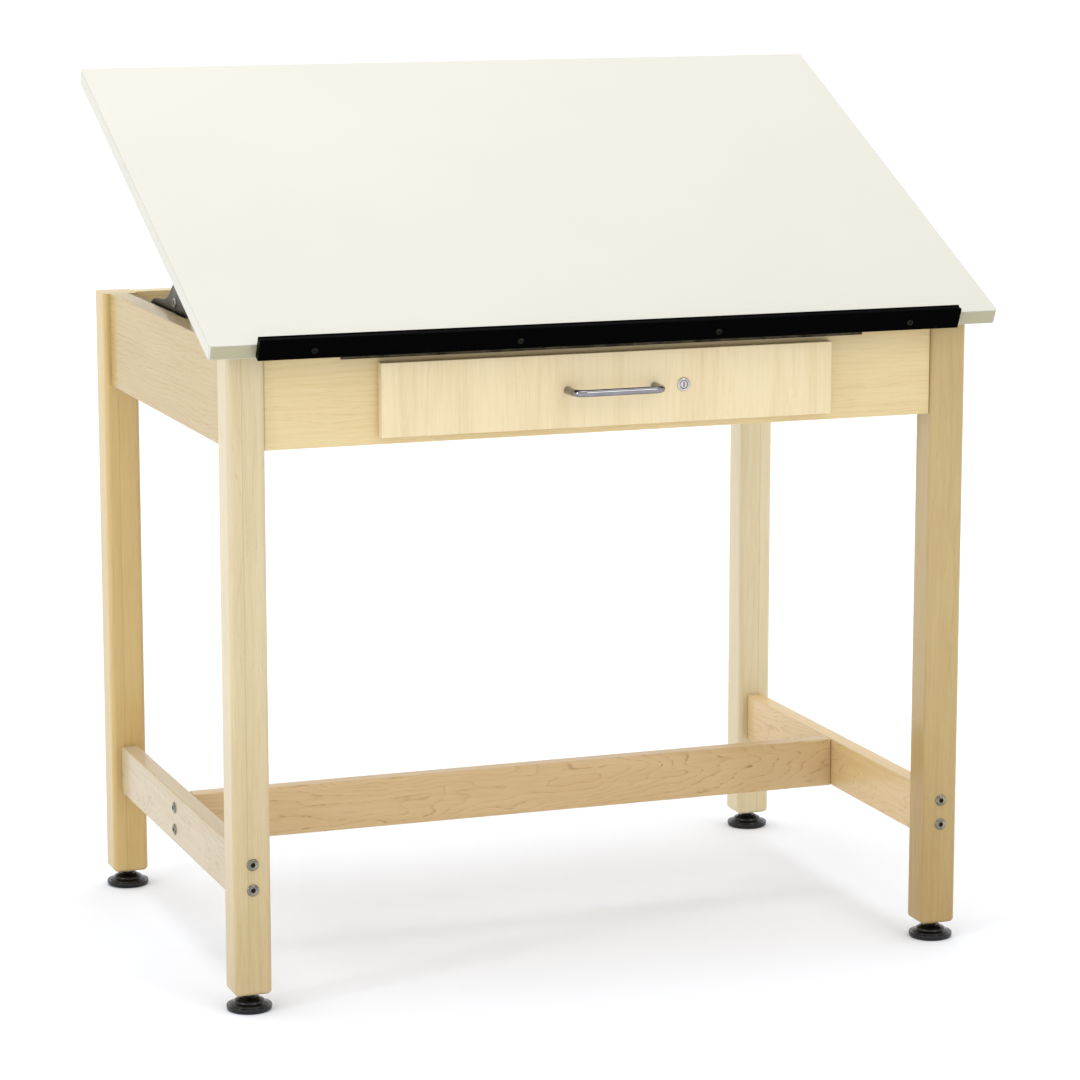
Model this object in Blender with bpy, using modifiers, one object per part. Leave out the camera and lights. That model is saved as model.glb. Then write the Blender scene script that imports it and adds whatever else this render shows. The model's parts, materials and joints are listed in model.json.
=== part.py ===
"""Drafting table: maple leg base, tilting laminate top on struts, lockable drawer and levelling feet.

Metres, +Z up. +X is the user's right and +Y points to the back. The origin is on the floor, under the middle
of the table's bounding box. Each piece is one object; pieces of the tilting top hang from the empty top_axis,
which lies on the hinge line and is turned by the tilt at rest.
"""

import math

import bmesh
import bpy
from mathutils import Matrix, Vector

# Driving dimensions
GAP = 0.0003  # between pieces that touch
TOP_WIDTH = 0.9144
TOP_DEPTH = 0.6096
TOP_THICK = 0.0175
TOP_TILT = math.radians(25.0)
TOP_TILT_MOST = math.radians(45.0)
BASE_WIDTH = 0.864  # over the legs
BASE_DEPTH = 0.584
LEG = 0.042  # square section
LEG_ROUND = 0.006
FOOT_ROUND = 0.005
APRON_ROUND = 0.001
FRAME_TOP = 0.7275
LEG_BOTTOM = 0.020
STEM_HOLE_TOP = 0.063
APRON_HIGH = 0.110
APRON_THICK = 0.023
END_APRON_INSET = 0.006  # front and rear aprons behind the leg faces
SIDE_APRON_INSET = 0.008
STRETCHER_BOTTOM = 0.1195
STRETCHER_HIGH = 0.058
STRETCHER_THICK = 0.020
STRETCHER_ROUND = 0.0012
BRACE_HIGH = 0.024
BRACE_THICK = 0.022
BRACE_LIFT = 0.0015  # above the aprons' lower edge
BRACE_REACH = 0.050  # from the apron corner to the brace's near end
BOLT_HEAD = 0.0135
BOLT_HEAD_THICK = 0.0018
BOLT_SHANK = 0.006
BOLT_SOCKET = 0.0024
LEG_BOLT_LONG = 0.062
LEG_BOLT_HOLE = 0.028  # into a side stretcher's end
CROSS_BOLT_LONG = 0.046
CROSS_BOLT_HOLE = 0.030  # into the centre stretcher's end
BOLT_PITCH = 0.0284
BOLT_MIDDLE = 0.1530
CROSS_BOLT_PITCH = 0.0254
HINGE_LONG = 0.6096
HINGE_KNUCKLES = 12
KNUCKLE_OUT = 0.0029
KNUCKLE_IN = 0.0017
HINGE_PIN = 0.0015
LEAF_THICK = 0.0012
LEAF_REACH = 0.0155  # from the hinge line to a leaf's free edge
HINGE_LIFT = 0.0005  # hinge line below the frame top
TOP_OVERHANG = 0.0229  # front edge of the top ahead of the hinge line
TROUGH_LONG = 0.812
TROUGH_DEEP = 0.0097
TROUGH_RISE = 0.010  # above the drawing surface
TROUGH_HIGH = 0.025
TROUGH_ROUND = 0.0026
TROUGH_GROOVE = 0.0030  # half width of the shallow pencil groove on the crest
TROUGH_GROOVE_DEEP = 0.0011
TROUGH_SCREWS = (-0.345, -0.115, 0.115, 0.345)
TROUGH_SCREW_DROP = 0.58  # of the trough's height, from its crest
BRACKET_ALONG = 0.265  # strut pivot behind the hinge line, along the top
BRACKET_DROP = 0.012
BRACKET_INWARD = 0.0096  # from the track plate's outer face to the bracket
BRACKET_THICK = 0.0025
BRACKET_HALF = 0.032
TRACK_SLOPE = math.radians(7.0)
TRACK_THICK = 0.003
TRACK_BELOW_TOP = 0.0008  # under the apron's upper edge
TRACK_ROUND = 0.006
NOTCH_TILTS = (5, 15, 25, 35, 45)  # degrees
NOTCH_DROP = 0.0028
STRUT_THICK = 0.003
STRUT_INWARD = 0.006  # from the track plate's outer face to the strut
STRUT_ARM = 0.0092  # half width
STRUT_HEEL = 0.0120  # radius round the lower pin
STRUT_EYE = 0.0115  # radius round the upper pivot
STRUT_LOBES = ((0.044, (-0.006, 0.024, 0.030, 0.112)), (0.050, (0.030, 0.090, 0.160, 0.235)))
STRUT_PIN = 0.004
STRUT_FREE = 0.0003  # clearance round a strut pin
DRAWER_FRONT_WIDE = 0.526
DRAWER_FRONT_LOW = 0.626
DRAWER_FRONT_HIGH = 0.707
DRAWER_FRONT_THICK = 0.0115
DRAWER_WIDE = 0.486
DRAWER_LOW = 0.641
DRAWER_HIGH = 0.695
DRAWER_REAR = 0.110
DRAWER_SIDE_THICK = 0.012
DRAWER_FLOOR_THICK = 0.005
DRAWER_FLOOR_LOW = 0.644
DRAWER_CLEAR = 0.0015  # round the drawer in the front apron
FLOOR_GROOVE = 0.0055
RUNNER_LOW = 0.6305
RUNNER_HIGH = 0.7055
RUNNER_WALL = 0.009
RUNNER_LEDGE = 0.0105  # over and under a drawer side
RUNNER_FREE = 0.0007
RUNNER_SIDE_FREE = 0.0010
FITTING_HIGH = 0.6675  # pull and lock on the drawer front
PULL_PITCH = 0.1016
PULL_ROD = 0.004
PULL_REACH = 0.030
PULL_BEND = 0.011
LOCK_X = 0.085
LOCK_RIM = 0.0075
LOCK_BARREL = 0.0059
LOCK_BORE = 0.0047
CAM_THICK = 0.0020
CAM_LONG = 0.030
CAM_HALF = 0.0072
PAD_RADIUS = 0.025
STEM_RADIUS = 0.004
STEM_TOP = 0.056

# Derived places, before the shift that centres the table over the origin
APRON_FRONT_FACE = -BASE_DEPTH / 2 + END_APRON_INSET
APRON_REAR_FACE = -APRON_FRONT_FACE
RAIL_IN = BASE_WIDTH / 2 - SIDE_APRON_INSET - APRON_THICK  # inner face of a side apron
FRAME_IN = APRON_REAR_FACE - APRON_THICK  # inner face of a front or rear apron
LEG_X = (BASE_WIDTH - LEG) / 2
LEG_Y = (BASE_DEPTH - LEG) / 2
DRAWER_FACE = APRON_FRONT_FACE - 0.0005 - DRAWER_FRONT_THICK
FRONT_MOST = DRAWER_FACE - PULL_REACH - PULL_ROD
REAR_MOST = LEG_Y + PAD_RADIUS
BASE_Y = -(FRONT_MOST + REAR_MOST) / 2
HINGE = Vector((0, APRON_FRONT_FACE - GAP - KNUCKLE_OUT, FRAME_TOP - HINGE_LIFT))
UNDERSIDE = KNUCKLE_OUT + GAP  # underside of the top above the hinge line, square to it
STRUT_LONG = math.hypot(BRACKET_ALONG, BRACKET_DROP)
BRACKET_ANGLE = math.atan2(BRACKET_DROP, BRACKET_ALONG)
STRETCHER_TOP = STRETCHER_BOTTOM + STRETCHER_HIGH

ENDS = (("front", -1), ("rear", 1))
SIDES = (("left", -1), ("right", 1))
LEVELS = (("lower", -0.5), ("upper", 0.5))
ALONG = {"X": Vector((1, 0, 0)), "Y": Vector((0, 1, 0)), "Z": Vector((0, 0, 1))}

for old in list(bpy.data.objects):
    bpy.data.objects.remove(old, do_unlink=True)
TABLE = bpy.data.collections.new("drafting_table")
CUTTERS = bpy.data.collections.new("cutters")
for collection in (TABLE, CUTTERS):
    bpy.context.scene.collection.children.link(collection)
CUTTERS.hide_render = True


def finish(name, colour, roughness, metallic=0.0):
    """A Principled material of one colour."""
    made = bpy.data.materials.new(name)
    made.use_nodes = True
    shader = made.node_tree.nodes["Principled BSDF"]
    shader.inputs["Base Color"].default_value = (*colour, 1)
    shader.inputs["Roughness"].default_value = roughness
    shader.inputs["Metallic"].default_value = metallic
    return made


MAPLE = finish("maple", (0.78, 0.62, 0.40), 0.42)
PALE_MAPLE = finish("maple_front", (0.85, 0.70, 0.46), 0.40)
LAMINATE = finish("almond_laminate", (0.90, 0.88, 0.80), 0.45)
PVC = finish("black_pvc", (0.012, 0.012, 0.013), 0.35)
BLACK_STEEL = finish("blackened_steel", (0.035, 0.034, 0.028), 0.45, 0.8)
NICKEL = finish("nickel", (0.62, 0.61, 0.58), 0.28, 1.0)
ZINC = finish("zinc_steel", (0.55, 0.55, 0.53), 0.40, 1.0)
RUBBER = finish("black_rubber", (0.015, 0.015, 0.015), 0.55)
PLYWOOD = finish("birch_plywood", (0.74, 0.60, 0.42), 0.50)


def empty(name, place, tilt=0.0):
    """An axis for moving pieces."""
    made = bpy.data.objects.new(name, None)
    made.location = place
    made.rotation_euler = (tilt, 0, 0)
    TABLE.objects.link(made)
    return made


SHIFT = Vector((0, BASE_Y, 0))
BASE = empty("base_middle", SHIFT)
TOP = empty("top_axis", HINGE + SHIFT, TOP_TILT)


def place(name, mesh, look, parent, middle=(0, 0, 0)):
    """An object of the table, or a cutter when it has no look."""
    made = bpy.data.objects.new(name, mesh)
    made.location = middle
    made.parent = parent
    if look is None:
        CUTTERS.objects.link(made)
        made.hide_render = True
        made.display_type = "WIRE"
    else:
        TABLE.objects.link(made)
        mesh.materials.append(look)
        mesh.shade_smooth()
        mesh.set_sharp_from_angle(angle=math.radians(35))
    return made


def box(name, low, high, look=None, parent=BASE, bevel=0.0, steps=2):
    """A box between two corners, with its edges rounded by bevel."""
    low, high = Vector(low), Vector(high)
    mesh = bpy.data.meshes.new(name)
    cube = bmesh.new()
    bmesh.ops.create_cube(cube, size=1)
    bmesh.ops.scale(cube, vec=high - low, verts=cube.verts)
    cube.to_mesh(mesh)
    cube.free()
    made = place(name, mesh, look, parent, (low + high) / 2)
    if bevel:
        rounding = made.modifiers.new("rounding", "BEVEL")
        rounding.width = bevel
        rounding.segments = steps
    return made


def rods(name, places, axis, radius, length, look=None, parent=BASE, sides=16):
    """Equal cylinders along one axis, each with its middle at one of the places."""
    turn = Vector((0, 0, 1)).rotation_difference(ALONG[axis]).to_matrix().to_4x4()
    middle = Vector(places[0])
    mesh = bpy.data.meshes.new(name)
    shape = bmesh.new()
    for spot in places:
        bmesh.ops.create_cone(
            shape, cap_ends=True, segments=sides, radius1=radius, radius2=radius, depth=length,
            matrix=Matrix.Translation(Vector(spot) - middle) @ turn,
        )
    shape.to_mesh(mesh)
    shape.free()
    return place(name, mesh, look, parent, middle)


def turned(name, profile, base, axis, look=None, parent=BASE, sides=24):
    """A solid of revolution: profile runs down the outside as (radius, height), height along axis."""
    mesh = bpy.data.meshes.new(name)
    mesh.from_pydata([(r, 0, h) for r, h in profile], [(i, i + 1) for i in range(len(profile) - 1)], [])
    made = bpy.data.objects.new(name, mesh)
    bpy.context.scene.collection.objects.link(made)
    screw = made.modifiers.new("turn", "SCREW")
    screw.steps = screw.render_steps = sides
    screw.use_merge_vertices = True
    screw.merge_threshold = 0.00001
    return place(name, solid_mesh(name, made, axis), look, parent, base)


def solid_mesh(name, source, axis="Z"):
    """The evaluated, welded mesh of an object, its Z turned to lie along axis; the object is removed."""
    bpy.context.view_layer.update()
    seen = source.evaluated_get(bpy.context.evaluated_depsgraph_get())
    mesh = bpy.data.meshes.new_from_object(seen)
    mesh.name = name
    bpy.data.objects.remove(source)
    shape = bmesh.new()
    shape.from_mesh(mesh)
    bmesh.ops.remove_doubles(shape, verts=shape.verts, dist=0.000001)
    if axis in ALONG:
        turn = Vector((0, 0, 1)).rotation_difference(ALONG[axis]).to_matrix()
    elif axis == "YZ":  # drawn in the YZ plane, thick along X
        turn = Matrix(((0, 0, 1), (1, 0, 0), (0, 1, 0)))
    else:  # "XZ": drawn in the XZ plane, thick along Y
        turn = Matrix(((1, 0, 0), (0, 0, -1), (0, 1, 0)))
    bmesh.ops.rotate(shape, cent=(0, 0, 0), matrix=turn, verts=shape.verts)
    bmesh.ops.recalc_face_normals(shape, faces=shape.faces)
    shape.to_mesh(mesh)
    shape.free()
    return mesh


def outline(name, points, thick, plane, look=None, parent=BASE, middle=(0, 0, 0)):
    """A flat outline in a plane, thick both ways from it."""
    curve = bpy.data.curves.new(name, "CURVE")
    curve.dimensions = "2D"
    curve.fill_mode = "BOTH"
    curve.extrude = thick / 2
    spline = curve.splines.new("POLY")
    spline.points.add(len(points) - 1)
    for point, (a, b) in zip(spline.points, points):
        point.co = (a, b, 0, 1)
    spline.use_cyclic_u = True
    made = bpy.data.objects.new(name, curve)
    bpy.context.scene.collection.objects.link(made)
    return place(name, solid_mesh(name, made, plane), look, parent, middle)


def arc(centre, radius, start, end, steps):
    """Points on an arc, by angles in degrees."""
    angles = [math.radians(start + (end - start) * i / steps) for i in range(steps + 1)]
    return [(centre[0] + radius * math.cos(a), centre[1] + radius * math.sin(a)) for a in angles]


def combine(target, *tools, operation="DIFFERENCE"):
    """Boolean modifiers, one for each tool."""
    for tool in tools:
        step = target.modifiers.new(operation.lower(), "BOOLEAN")
        step.operation = operation
        step.object = tool
        step.solver = "EXACT"


def add_legs():
    """Four square legs, drilled for their stretcher bolts and for the leveller stem."""
    for end, y_sign in ENDS:
        for side, x_sign in SIDES:
            name = f"leg_{end}_{side}"
            middle = Vector((x_sign * LEG_X, y_sign * LEG_Y, (LEG_BOTTOM + FRAME_TOP) / 2))
            mesh = bpy.data.meshes.new(name)
            shape = bmesh.new()
            bmesh.ops.create_cube(shape, size=1)
            bmesh.ops.scale(shape, vec=(LEG, LEG, FRAME_TOP - LEG_BOTTOM), verts=shape.verts)
            upright = [e for e in shape.edges if abs(e.verts[0].co.z - e.verts[1].co.z) > LEG]
            bmesh.ops.bevel(shape, geom=upright, offset=LEG_ROUND, segments=4, profile=0.5, affect="EDGES")
            low = min(v.co.z for v in shape.verts) + GAP
            foot = [e for e in shape.edges if all(v.co.z < low for v in e.verts)]
            bmesh.ops.bevel(shape, geom=foot, offset=FOOT_ROUND, segments=3, profile=0.5, affect="EDGES")
            shape.to_mesh(mesh)
            shape.free()
            leg = place(name, mesh, MAPLE, BASE, middle)
            bolts = [(middle.x, middle.y, BOLT_MIDDLE + BOLT_PITCH * level) for _, level in LEVELS]
            across = rods(f"{name}_bolt_holes", bolts, "Y", BOLT_SHANK / 2 + GAP, LEG + 0.01)
            hole_foot = LEG_BOTTOM - 0.003
            spot = (middle.x, middle.y, (hole_foot + STEM_HOLE_TOP) / 2)
            up = rods(f"{name}_stem_hole", [spot], "Z", STEM_RADIUS + 0.0004, STEM_HOLE_TOP - hole_foot)
            combine(leg, across, up)


def add_aprons():
    """Four aprons round the frame; the front one has the drawer's cut-out."""
    bottom = FRAME_TOP - APRON_HIGH
    along_x = BASE_WIDTH / 2 - LEG - GAP
    along_y = BASE_DEPTH / 2 - LEG - GAP
    for end, y_sign in ENDS:
        ys = sorted((y_sign * APRON_REAR_FACE, y_sign * FRAME_IN))
        low, high = (-along_x, ys[0], bottom), (along_x, ys[1], FRAME_TOP)
        apron = box(f"apron_{end}", low, high, MAPLE, bevel=APRON_ROUND)
        if end == "front":
            half = DRAWER_WIDE / 2 + DRAWER_CLEAR
            below, above = DRAWER_LOW - DRAWER_CLEAR, DRAWER_HIGH + DRAWER_CLEAR
            cut = box("drawer_cut_out", (-half, ys[0] - 0.01, below), (half, ys[1] + 0.01, above))
            combine(apron, cut)
    for side, x_sign in SIDES:
        xs = sorted((x_sign * RAIL_IN, x_sign * (RAIL_IN + APRON_THICK)))
        box(f"apron_{side}", (xs[0], -along_y, bottom), (xs[1], along_y, FRAME_TOP), MAPLE, bevel=APRON_ROUND)


def add_stretchers():
    """The H of two side stretchers and the centre one between them."""
    half = STRETCHER_THICK / 2
    depth = BASE_DEPTH / 2 - LEG - GAP
    bolt_x = LEG_X - half - GAP
    middle = (STRETCHER_BOTTOM + STRETCHER_TOP) / 2
    for side, x_sign in SIDES:
        low = (x_sign * LEG_X - half, -depth, STRETCHER_BOTTOM)
        high = (x_sign * LEG_X + half, depth, STRETCHER_TOP)
        rail = box(f"stretcher_{side}", low, high, MAPLE, bevel=STRETCHER_ROUND)
        ends = [
            (x_sign * LEG_X, y_sign * depth, BOLT_MIDDLE + BOLT_PITCH * level)
            for y_sign in (-1, 1) for _, level in LEVELS
        ]
        cross = [(x_sign * LEG_X, 0, middle + CROSS_BOLT_PITCH * level) for _, level in LEVELS]
        combine(
            rail,
            rods(f"stretcher_{side}_end_holes", ends, "Y", BOLT_SHANK / 2 + GAP, 2 * LEG_BOLT_HOLE),
            rods(f"stretcher_{side}_cross_holes", cross, "X", BOLT_SHANK / 2 + GAP, 2 * STRETCHER_THICK),
        )
    low, high = (-bolt_x, -half, STRETCHER_BOTTOM), (bolt_x, half, STRETCHER_TOP)
    centre = box("stretcher_centre", low, high, MAPLE, bevel=STRETCHER_ROUND)
    heights = [middle + CROSS_BOLT_PITCH * level for _, level in LEVELS]
    ends = [(x_sign * bolt_x, 0, height) for x_sign in (-1, 1) for height in heights]
    combine(centre, rods("stretcher_centre_holes", ends, "X", BOLT_SHANK / 2 + GAP, 2 * CROSS_BOLT_HOLE))


def add_braces():
    """Mitred corner blocks low inside the frame."""
    low = FRAME_TOP - APRON_HIGH + BRACE_LIFT
    near, far = BRACE_REACH, BRACE_REACH + BRACE_THICK * math.sqrt(2)
    for end, y_sign in ENDS:
        for side, x_sign in SIDES:
            corner = (x_sign * (RAIL_IN - GAP), y_sign * (FRAME_IN - GAP))
            points = [(near, 0), (far, 0), (0, far), (0, near)]
            points = [(corner[0] - x_sign * a, corner[1] - y_sign * b) for a, b in points]
            middle = (0, 0, low + BRACE_HIGH / 2)
            outline(f"corner_brace_{end}_{side}", points, BRACE_HIGH, "Z", MAPLE, middle=middle)


def bolt(name, base, axis, outward, length):
    """A connector bolt: thin domed head with a hex socket, shank running inward from the wood's face."""
    head, shank = BOLT_HEAD / 2, BOLT_SHANK / 2
    thick = BOLT_HEAD_THICK
    profile = [(0, thick), (head * 0.62, thick * 0.94), (head * 0.9, thick * 0.62), (head, 0.0004), (head, 0)]
    profile += [(shank, 0), (shank, -length), (0, -length)]
    made = turned(name, profile, (0, 0, 0), "Z", ZINC, sides=16)
    socket = rods(f"{name}_socket", [(0, 0, thick)], "Z", BOLT_SOCKET, 0.005, parent=made, sides=6)
    combine(made, socket)
    made.rotation_euler = Vector((0, 0, 1)).rotation_difference(ALONG[axis] * outward).to_euler()
    made.location = Vector(base) + ALONG[axis] * outward * GAP


def add_bolts():
    """Two bolts through each leg into a side stretcher, and two through each of those into the centre one."""
    middle = (STRETCHER_BOTTOM + STRETCHER_TOP) / 2
    for side, x_sign in SIDES:
        for level, step in LEVELS:
            for end, y_sign in ENDS:
                base = (x_sign * LEG_X, y_sign * BASE_DEPTH / 2, BOLT_MIDDLE + BOLT_PITCH * step)
                bolt(f"leg_bolt_{end}_{side}_{level}", base, "Y", y_sign, LEG_BOLT_LONG)
            base = (x_sign * (LEG_X + STRETCHER_THICK / 2), 0, middle + CROSS_BOLT_PITCH * step)
            bolt(f"stretcher_bolt_{side}_{level}", base, "X", x_sign, CROSS_BOLT_LONG)


def add_levellers():
    """A swivel pad on a threaded stem under each leg."""
    rim = PAD_RADIUS
    pad = [(0, 0.0082), (STEM_RADIUS + GAP, 0.0082), (STEM_RADIUS + GAP, 0.0143), (0.0098, 0.0145)]
    pad += [(0.0116, 0.0138), (0.0215, 0.0080), (rim - 0.0006, 0.0062), (rim, 0.0048), (rim, 0.0024)]
    pad += [(rim - 0.0012, 0.0006), (rim - 0.003, 0), (0, 0)]
    for end, y_sign in ENDS:
        for side, x_sign in SIDES:
            foot = (x_sign * LEG_X, y_sign * LEG_Y, 0)
            turned(f"glide_pad_{end}_{side}", pad, foot, "Z", RUBBER, sides=20)
            stem = [(0, STEM_TOP), (0.0032, STEM_TOP), (STEM_RADIUS, STEM_TOP - 0.0008)]
            stem += [(STEM_RADIUS, 0.0195), (STEM_RADIUS, 0.0090), (0.0034, 0.0085), (0, 0.0085)]
            turned(f"glide_stem_{end}_{side}", stem, foot, "Z", ZINC, sides=12)


def add_top():
    """The board, its pencil trough and the four screws that hold the trough."""
    low, high = UNDERSIDE, UNDERSIDE + TOP_THICK
    front = -TOP_OVERHANG
    mesh = bpy.data.meshes.new("top_board")
    shape = bmesh.new()
    bmesh.ops.create_cube(shape, size=1)
    bmesh.ops.scale(shape, vec=(TOP_WIDTH, TOP_DEPTH, TOP_THICK), verts=shape.verts)
    upright = [e for e in shape.edges if abs(e.verts[0].co.z - e.verts[1].co.z) > GAP]
    bmesh.ops.bevel(shape, geom=upright, offset=0.004, segments=4, profile=0.5, affect="EDGES")
    rims = [e for e in shape.edges if abs(e.verts[0].co.z - e.verts[1].co.z) < GAP]
    bmesh.ops.bevel(shape, geom=rims, offset=0.0006, segments=2, profile=0.5, affect="EDGES")
    shape.to_mesh(mesh)
    shape.free()
    board = place("top_board", mesh, LAMINATE, TOP, (0, front + TOP_DEPTH / 2, (low + high) / 2))

    back, face = front - GAP, front - GAP - TROUGH_DEEP
    crest, foot = high + TROUGH_RISE, high + TROUGH_RISE - TROUGH_HIGH
    profile = [(back, foot + 0.0004), (back, crest - 0.0006)]
    profile += arc((back - 0.0006, crest - 0.0006), 0.0006, 60, 90, 1)
    middle = back - 0.0010 - TROUGH_GROOVE
    for i in range(7):
        turn = math.pi * i / 6
        dip = TROUGH_GROOVE_DEEP * math.sin(turn)
        profile.append((middle + TROUGH_GROOVE * math.cos(turn), crest - dip))
    profile += arc((face + TROUGH_ROUND, crest - TROUGH_ROUND), TROUGH_ROUND, 90, 180, 6)
    profile += arc((face + 0.0012, foot + 0.0012), 0.0012, 180, 270, 3)
    trough = outline("pencil_trough", profile, TROUGH_LONG, "YZ", PVC, TOP)

    spots = [(x, face, crest - TROUGH_SCREW_DROP * TROUGH_HIGH) for x in TROUGH_SCREWS]
    holes = rods("trough_screw_holes", spots, "Y", 0.0021, 0.060, parent=TOP, sides=10)
    combine(board, holes)
    combine(trough, holes)
    head = [(0, 0.0015), (0.0020, 0.0014), (0.0032, 0.0009), (0.0036, 0.0002), (0.0036, 0)]
    head += [(0.0018, 0), (0.0018, -0.021), (0.0008, -0.025), (0, -0.025)]
    for number, (x, y, z) in enumerate(spots, 1):
        screw = turned(f"trough_screw_{number}", head, (x, y - GAP, z), "Z", BLACK_STEEL, TOP, sides=14)
        slots = [box(f"trough_screw_{number}_slot_{i}", (-w, -d, 0.0007), (w, d, 0.01), parent=screw)
                 for i, (w, d) in enumerate(((0.00035, 0.0018), (0.0018, 0.00035)))]
        combine(screw, *slots)
        screw.rotation_euler = (math.radians(90), 0, 0)


def add_hinge():
    """Continuous hinge: the frame leaf hangs on the front apron, the other lies under the top."""
    pitch = HINGE_LONG / HINGE_KNUCKLES
    start, tab = KNUCKLE_OUT + 0.0005, 0.0001
    half = HINGE_LONG / 2
    near, far = KNUCKLE_OUT - LEAF_THICK, KNUCKLE_OUT
    frame_axis = empty("hinge_line", HINGE + SHIFT)
    leaves = (
        ("hinge_leaf_frame", frame_axis, 0, (-half, near, -LEAF_REACH), (half, far, -start),
         (near + tab, -start - 0.001), (far - tab, 0)),
        ("hinge_leaf_top", TOP, 1, (-half, -LEAF_REACH, near), (half, -start, far),
         (-start - 0.001, near + tab), (0, far - tab)),
    )
    for name, parent, odd, low, high, tab_low, tab_high in leaves:
        leaf = box(name, low, high, BLACK_STEEL, parent)
        for index in range(odd, HINGE_KNUCKLES, 2):
            x = -half + pitch * (index + 0.5)
            long = pitch - 2 * GAP
            corners = (x - long / 2, *tab_low), (x + long / 2, *tab_high)
            link = box(f"{name}_tab_{index}", *corners, parent=parent)
            ring = [(KNUCKLE_OUT, long), (KNUCKLE_OUT, 0), (KNUCKLE_IN, 0), (KNUCKLE_IN, long)]
            base = (x - long / 2, 0, 0)
            knuckle = turned(f"{name}_knuckle_{index}", ring + ring[:1], base, "X", None, parent, sides=10)
            combine(leaf, link, knuckle, operation="UNION")
    rods("hinge_pin", [(0, 0, 0)], "X", HINGE_PIN, HINGE_LONG, BLACK_STEEL, frame_axis, sides=12)


def track_point(tilt):
    """Where a strut's lower pin sits in its track when the top is tilted, in the base's frame."""
    reach = 2 * STRUT_LONG * math.cos(tilt - BRACKET_ANGLE + TRACK_SLOPE)
    return HINGE + reach * Vector((0, math.cos(TRACK_SLOPE), -math.sin(TRACK_SLOPE)))


def bracket_point(tilt):
    """Where a strut's upper pivot is, in the base's frame."""
    angle = tilt - BRACKET_ANGLE
    return HINGE + STRUT_LONG * Vector((0, math.cos(angle), math.sin(angle)))


def lobe(u, height, stations):
    """Half width of the strut at u: it rises over the first two stations and falls over the last two."""
    start, full, leave, end = stations
    if u < full:
        share = (u - start) / (full - start)
    else:
        share = (end - u) / (end - leave)
    share = min(max(share, 0.0), 1.0)
    return STRUT_ARM + (height - STRUT_ARM) * (1 - math.cos(math.pi * share)) / 2


def strut_outline():
    """Side view, lower pin at the origin and upper pivot at +STRUT_LONG: a plate that ends in an arm."""
    start, end = 0.014, STRUT_LONG - 0.012
    us = [start + (end - start) * i / 20 for i in range(21)]
    (upper, upper_at), (lower, lower_at) = STRUT_LOBES
    points = arc((0, 0), STRUT_HEEL, 290, 125, 6)
    points += [(u, lobe(u, upper, upper_at)) for u in us]
    points += arc((STRUT_LONG, 0), STRUT_EYE, 115, -115, 10)
    return points + [(u, -lobe(u, lower, lower_at)) for u in reversed(us)]


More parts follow.
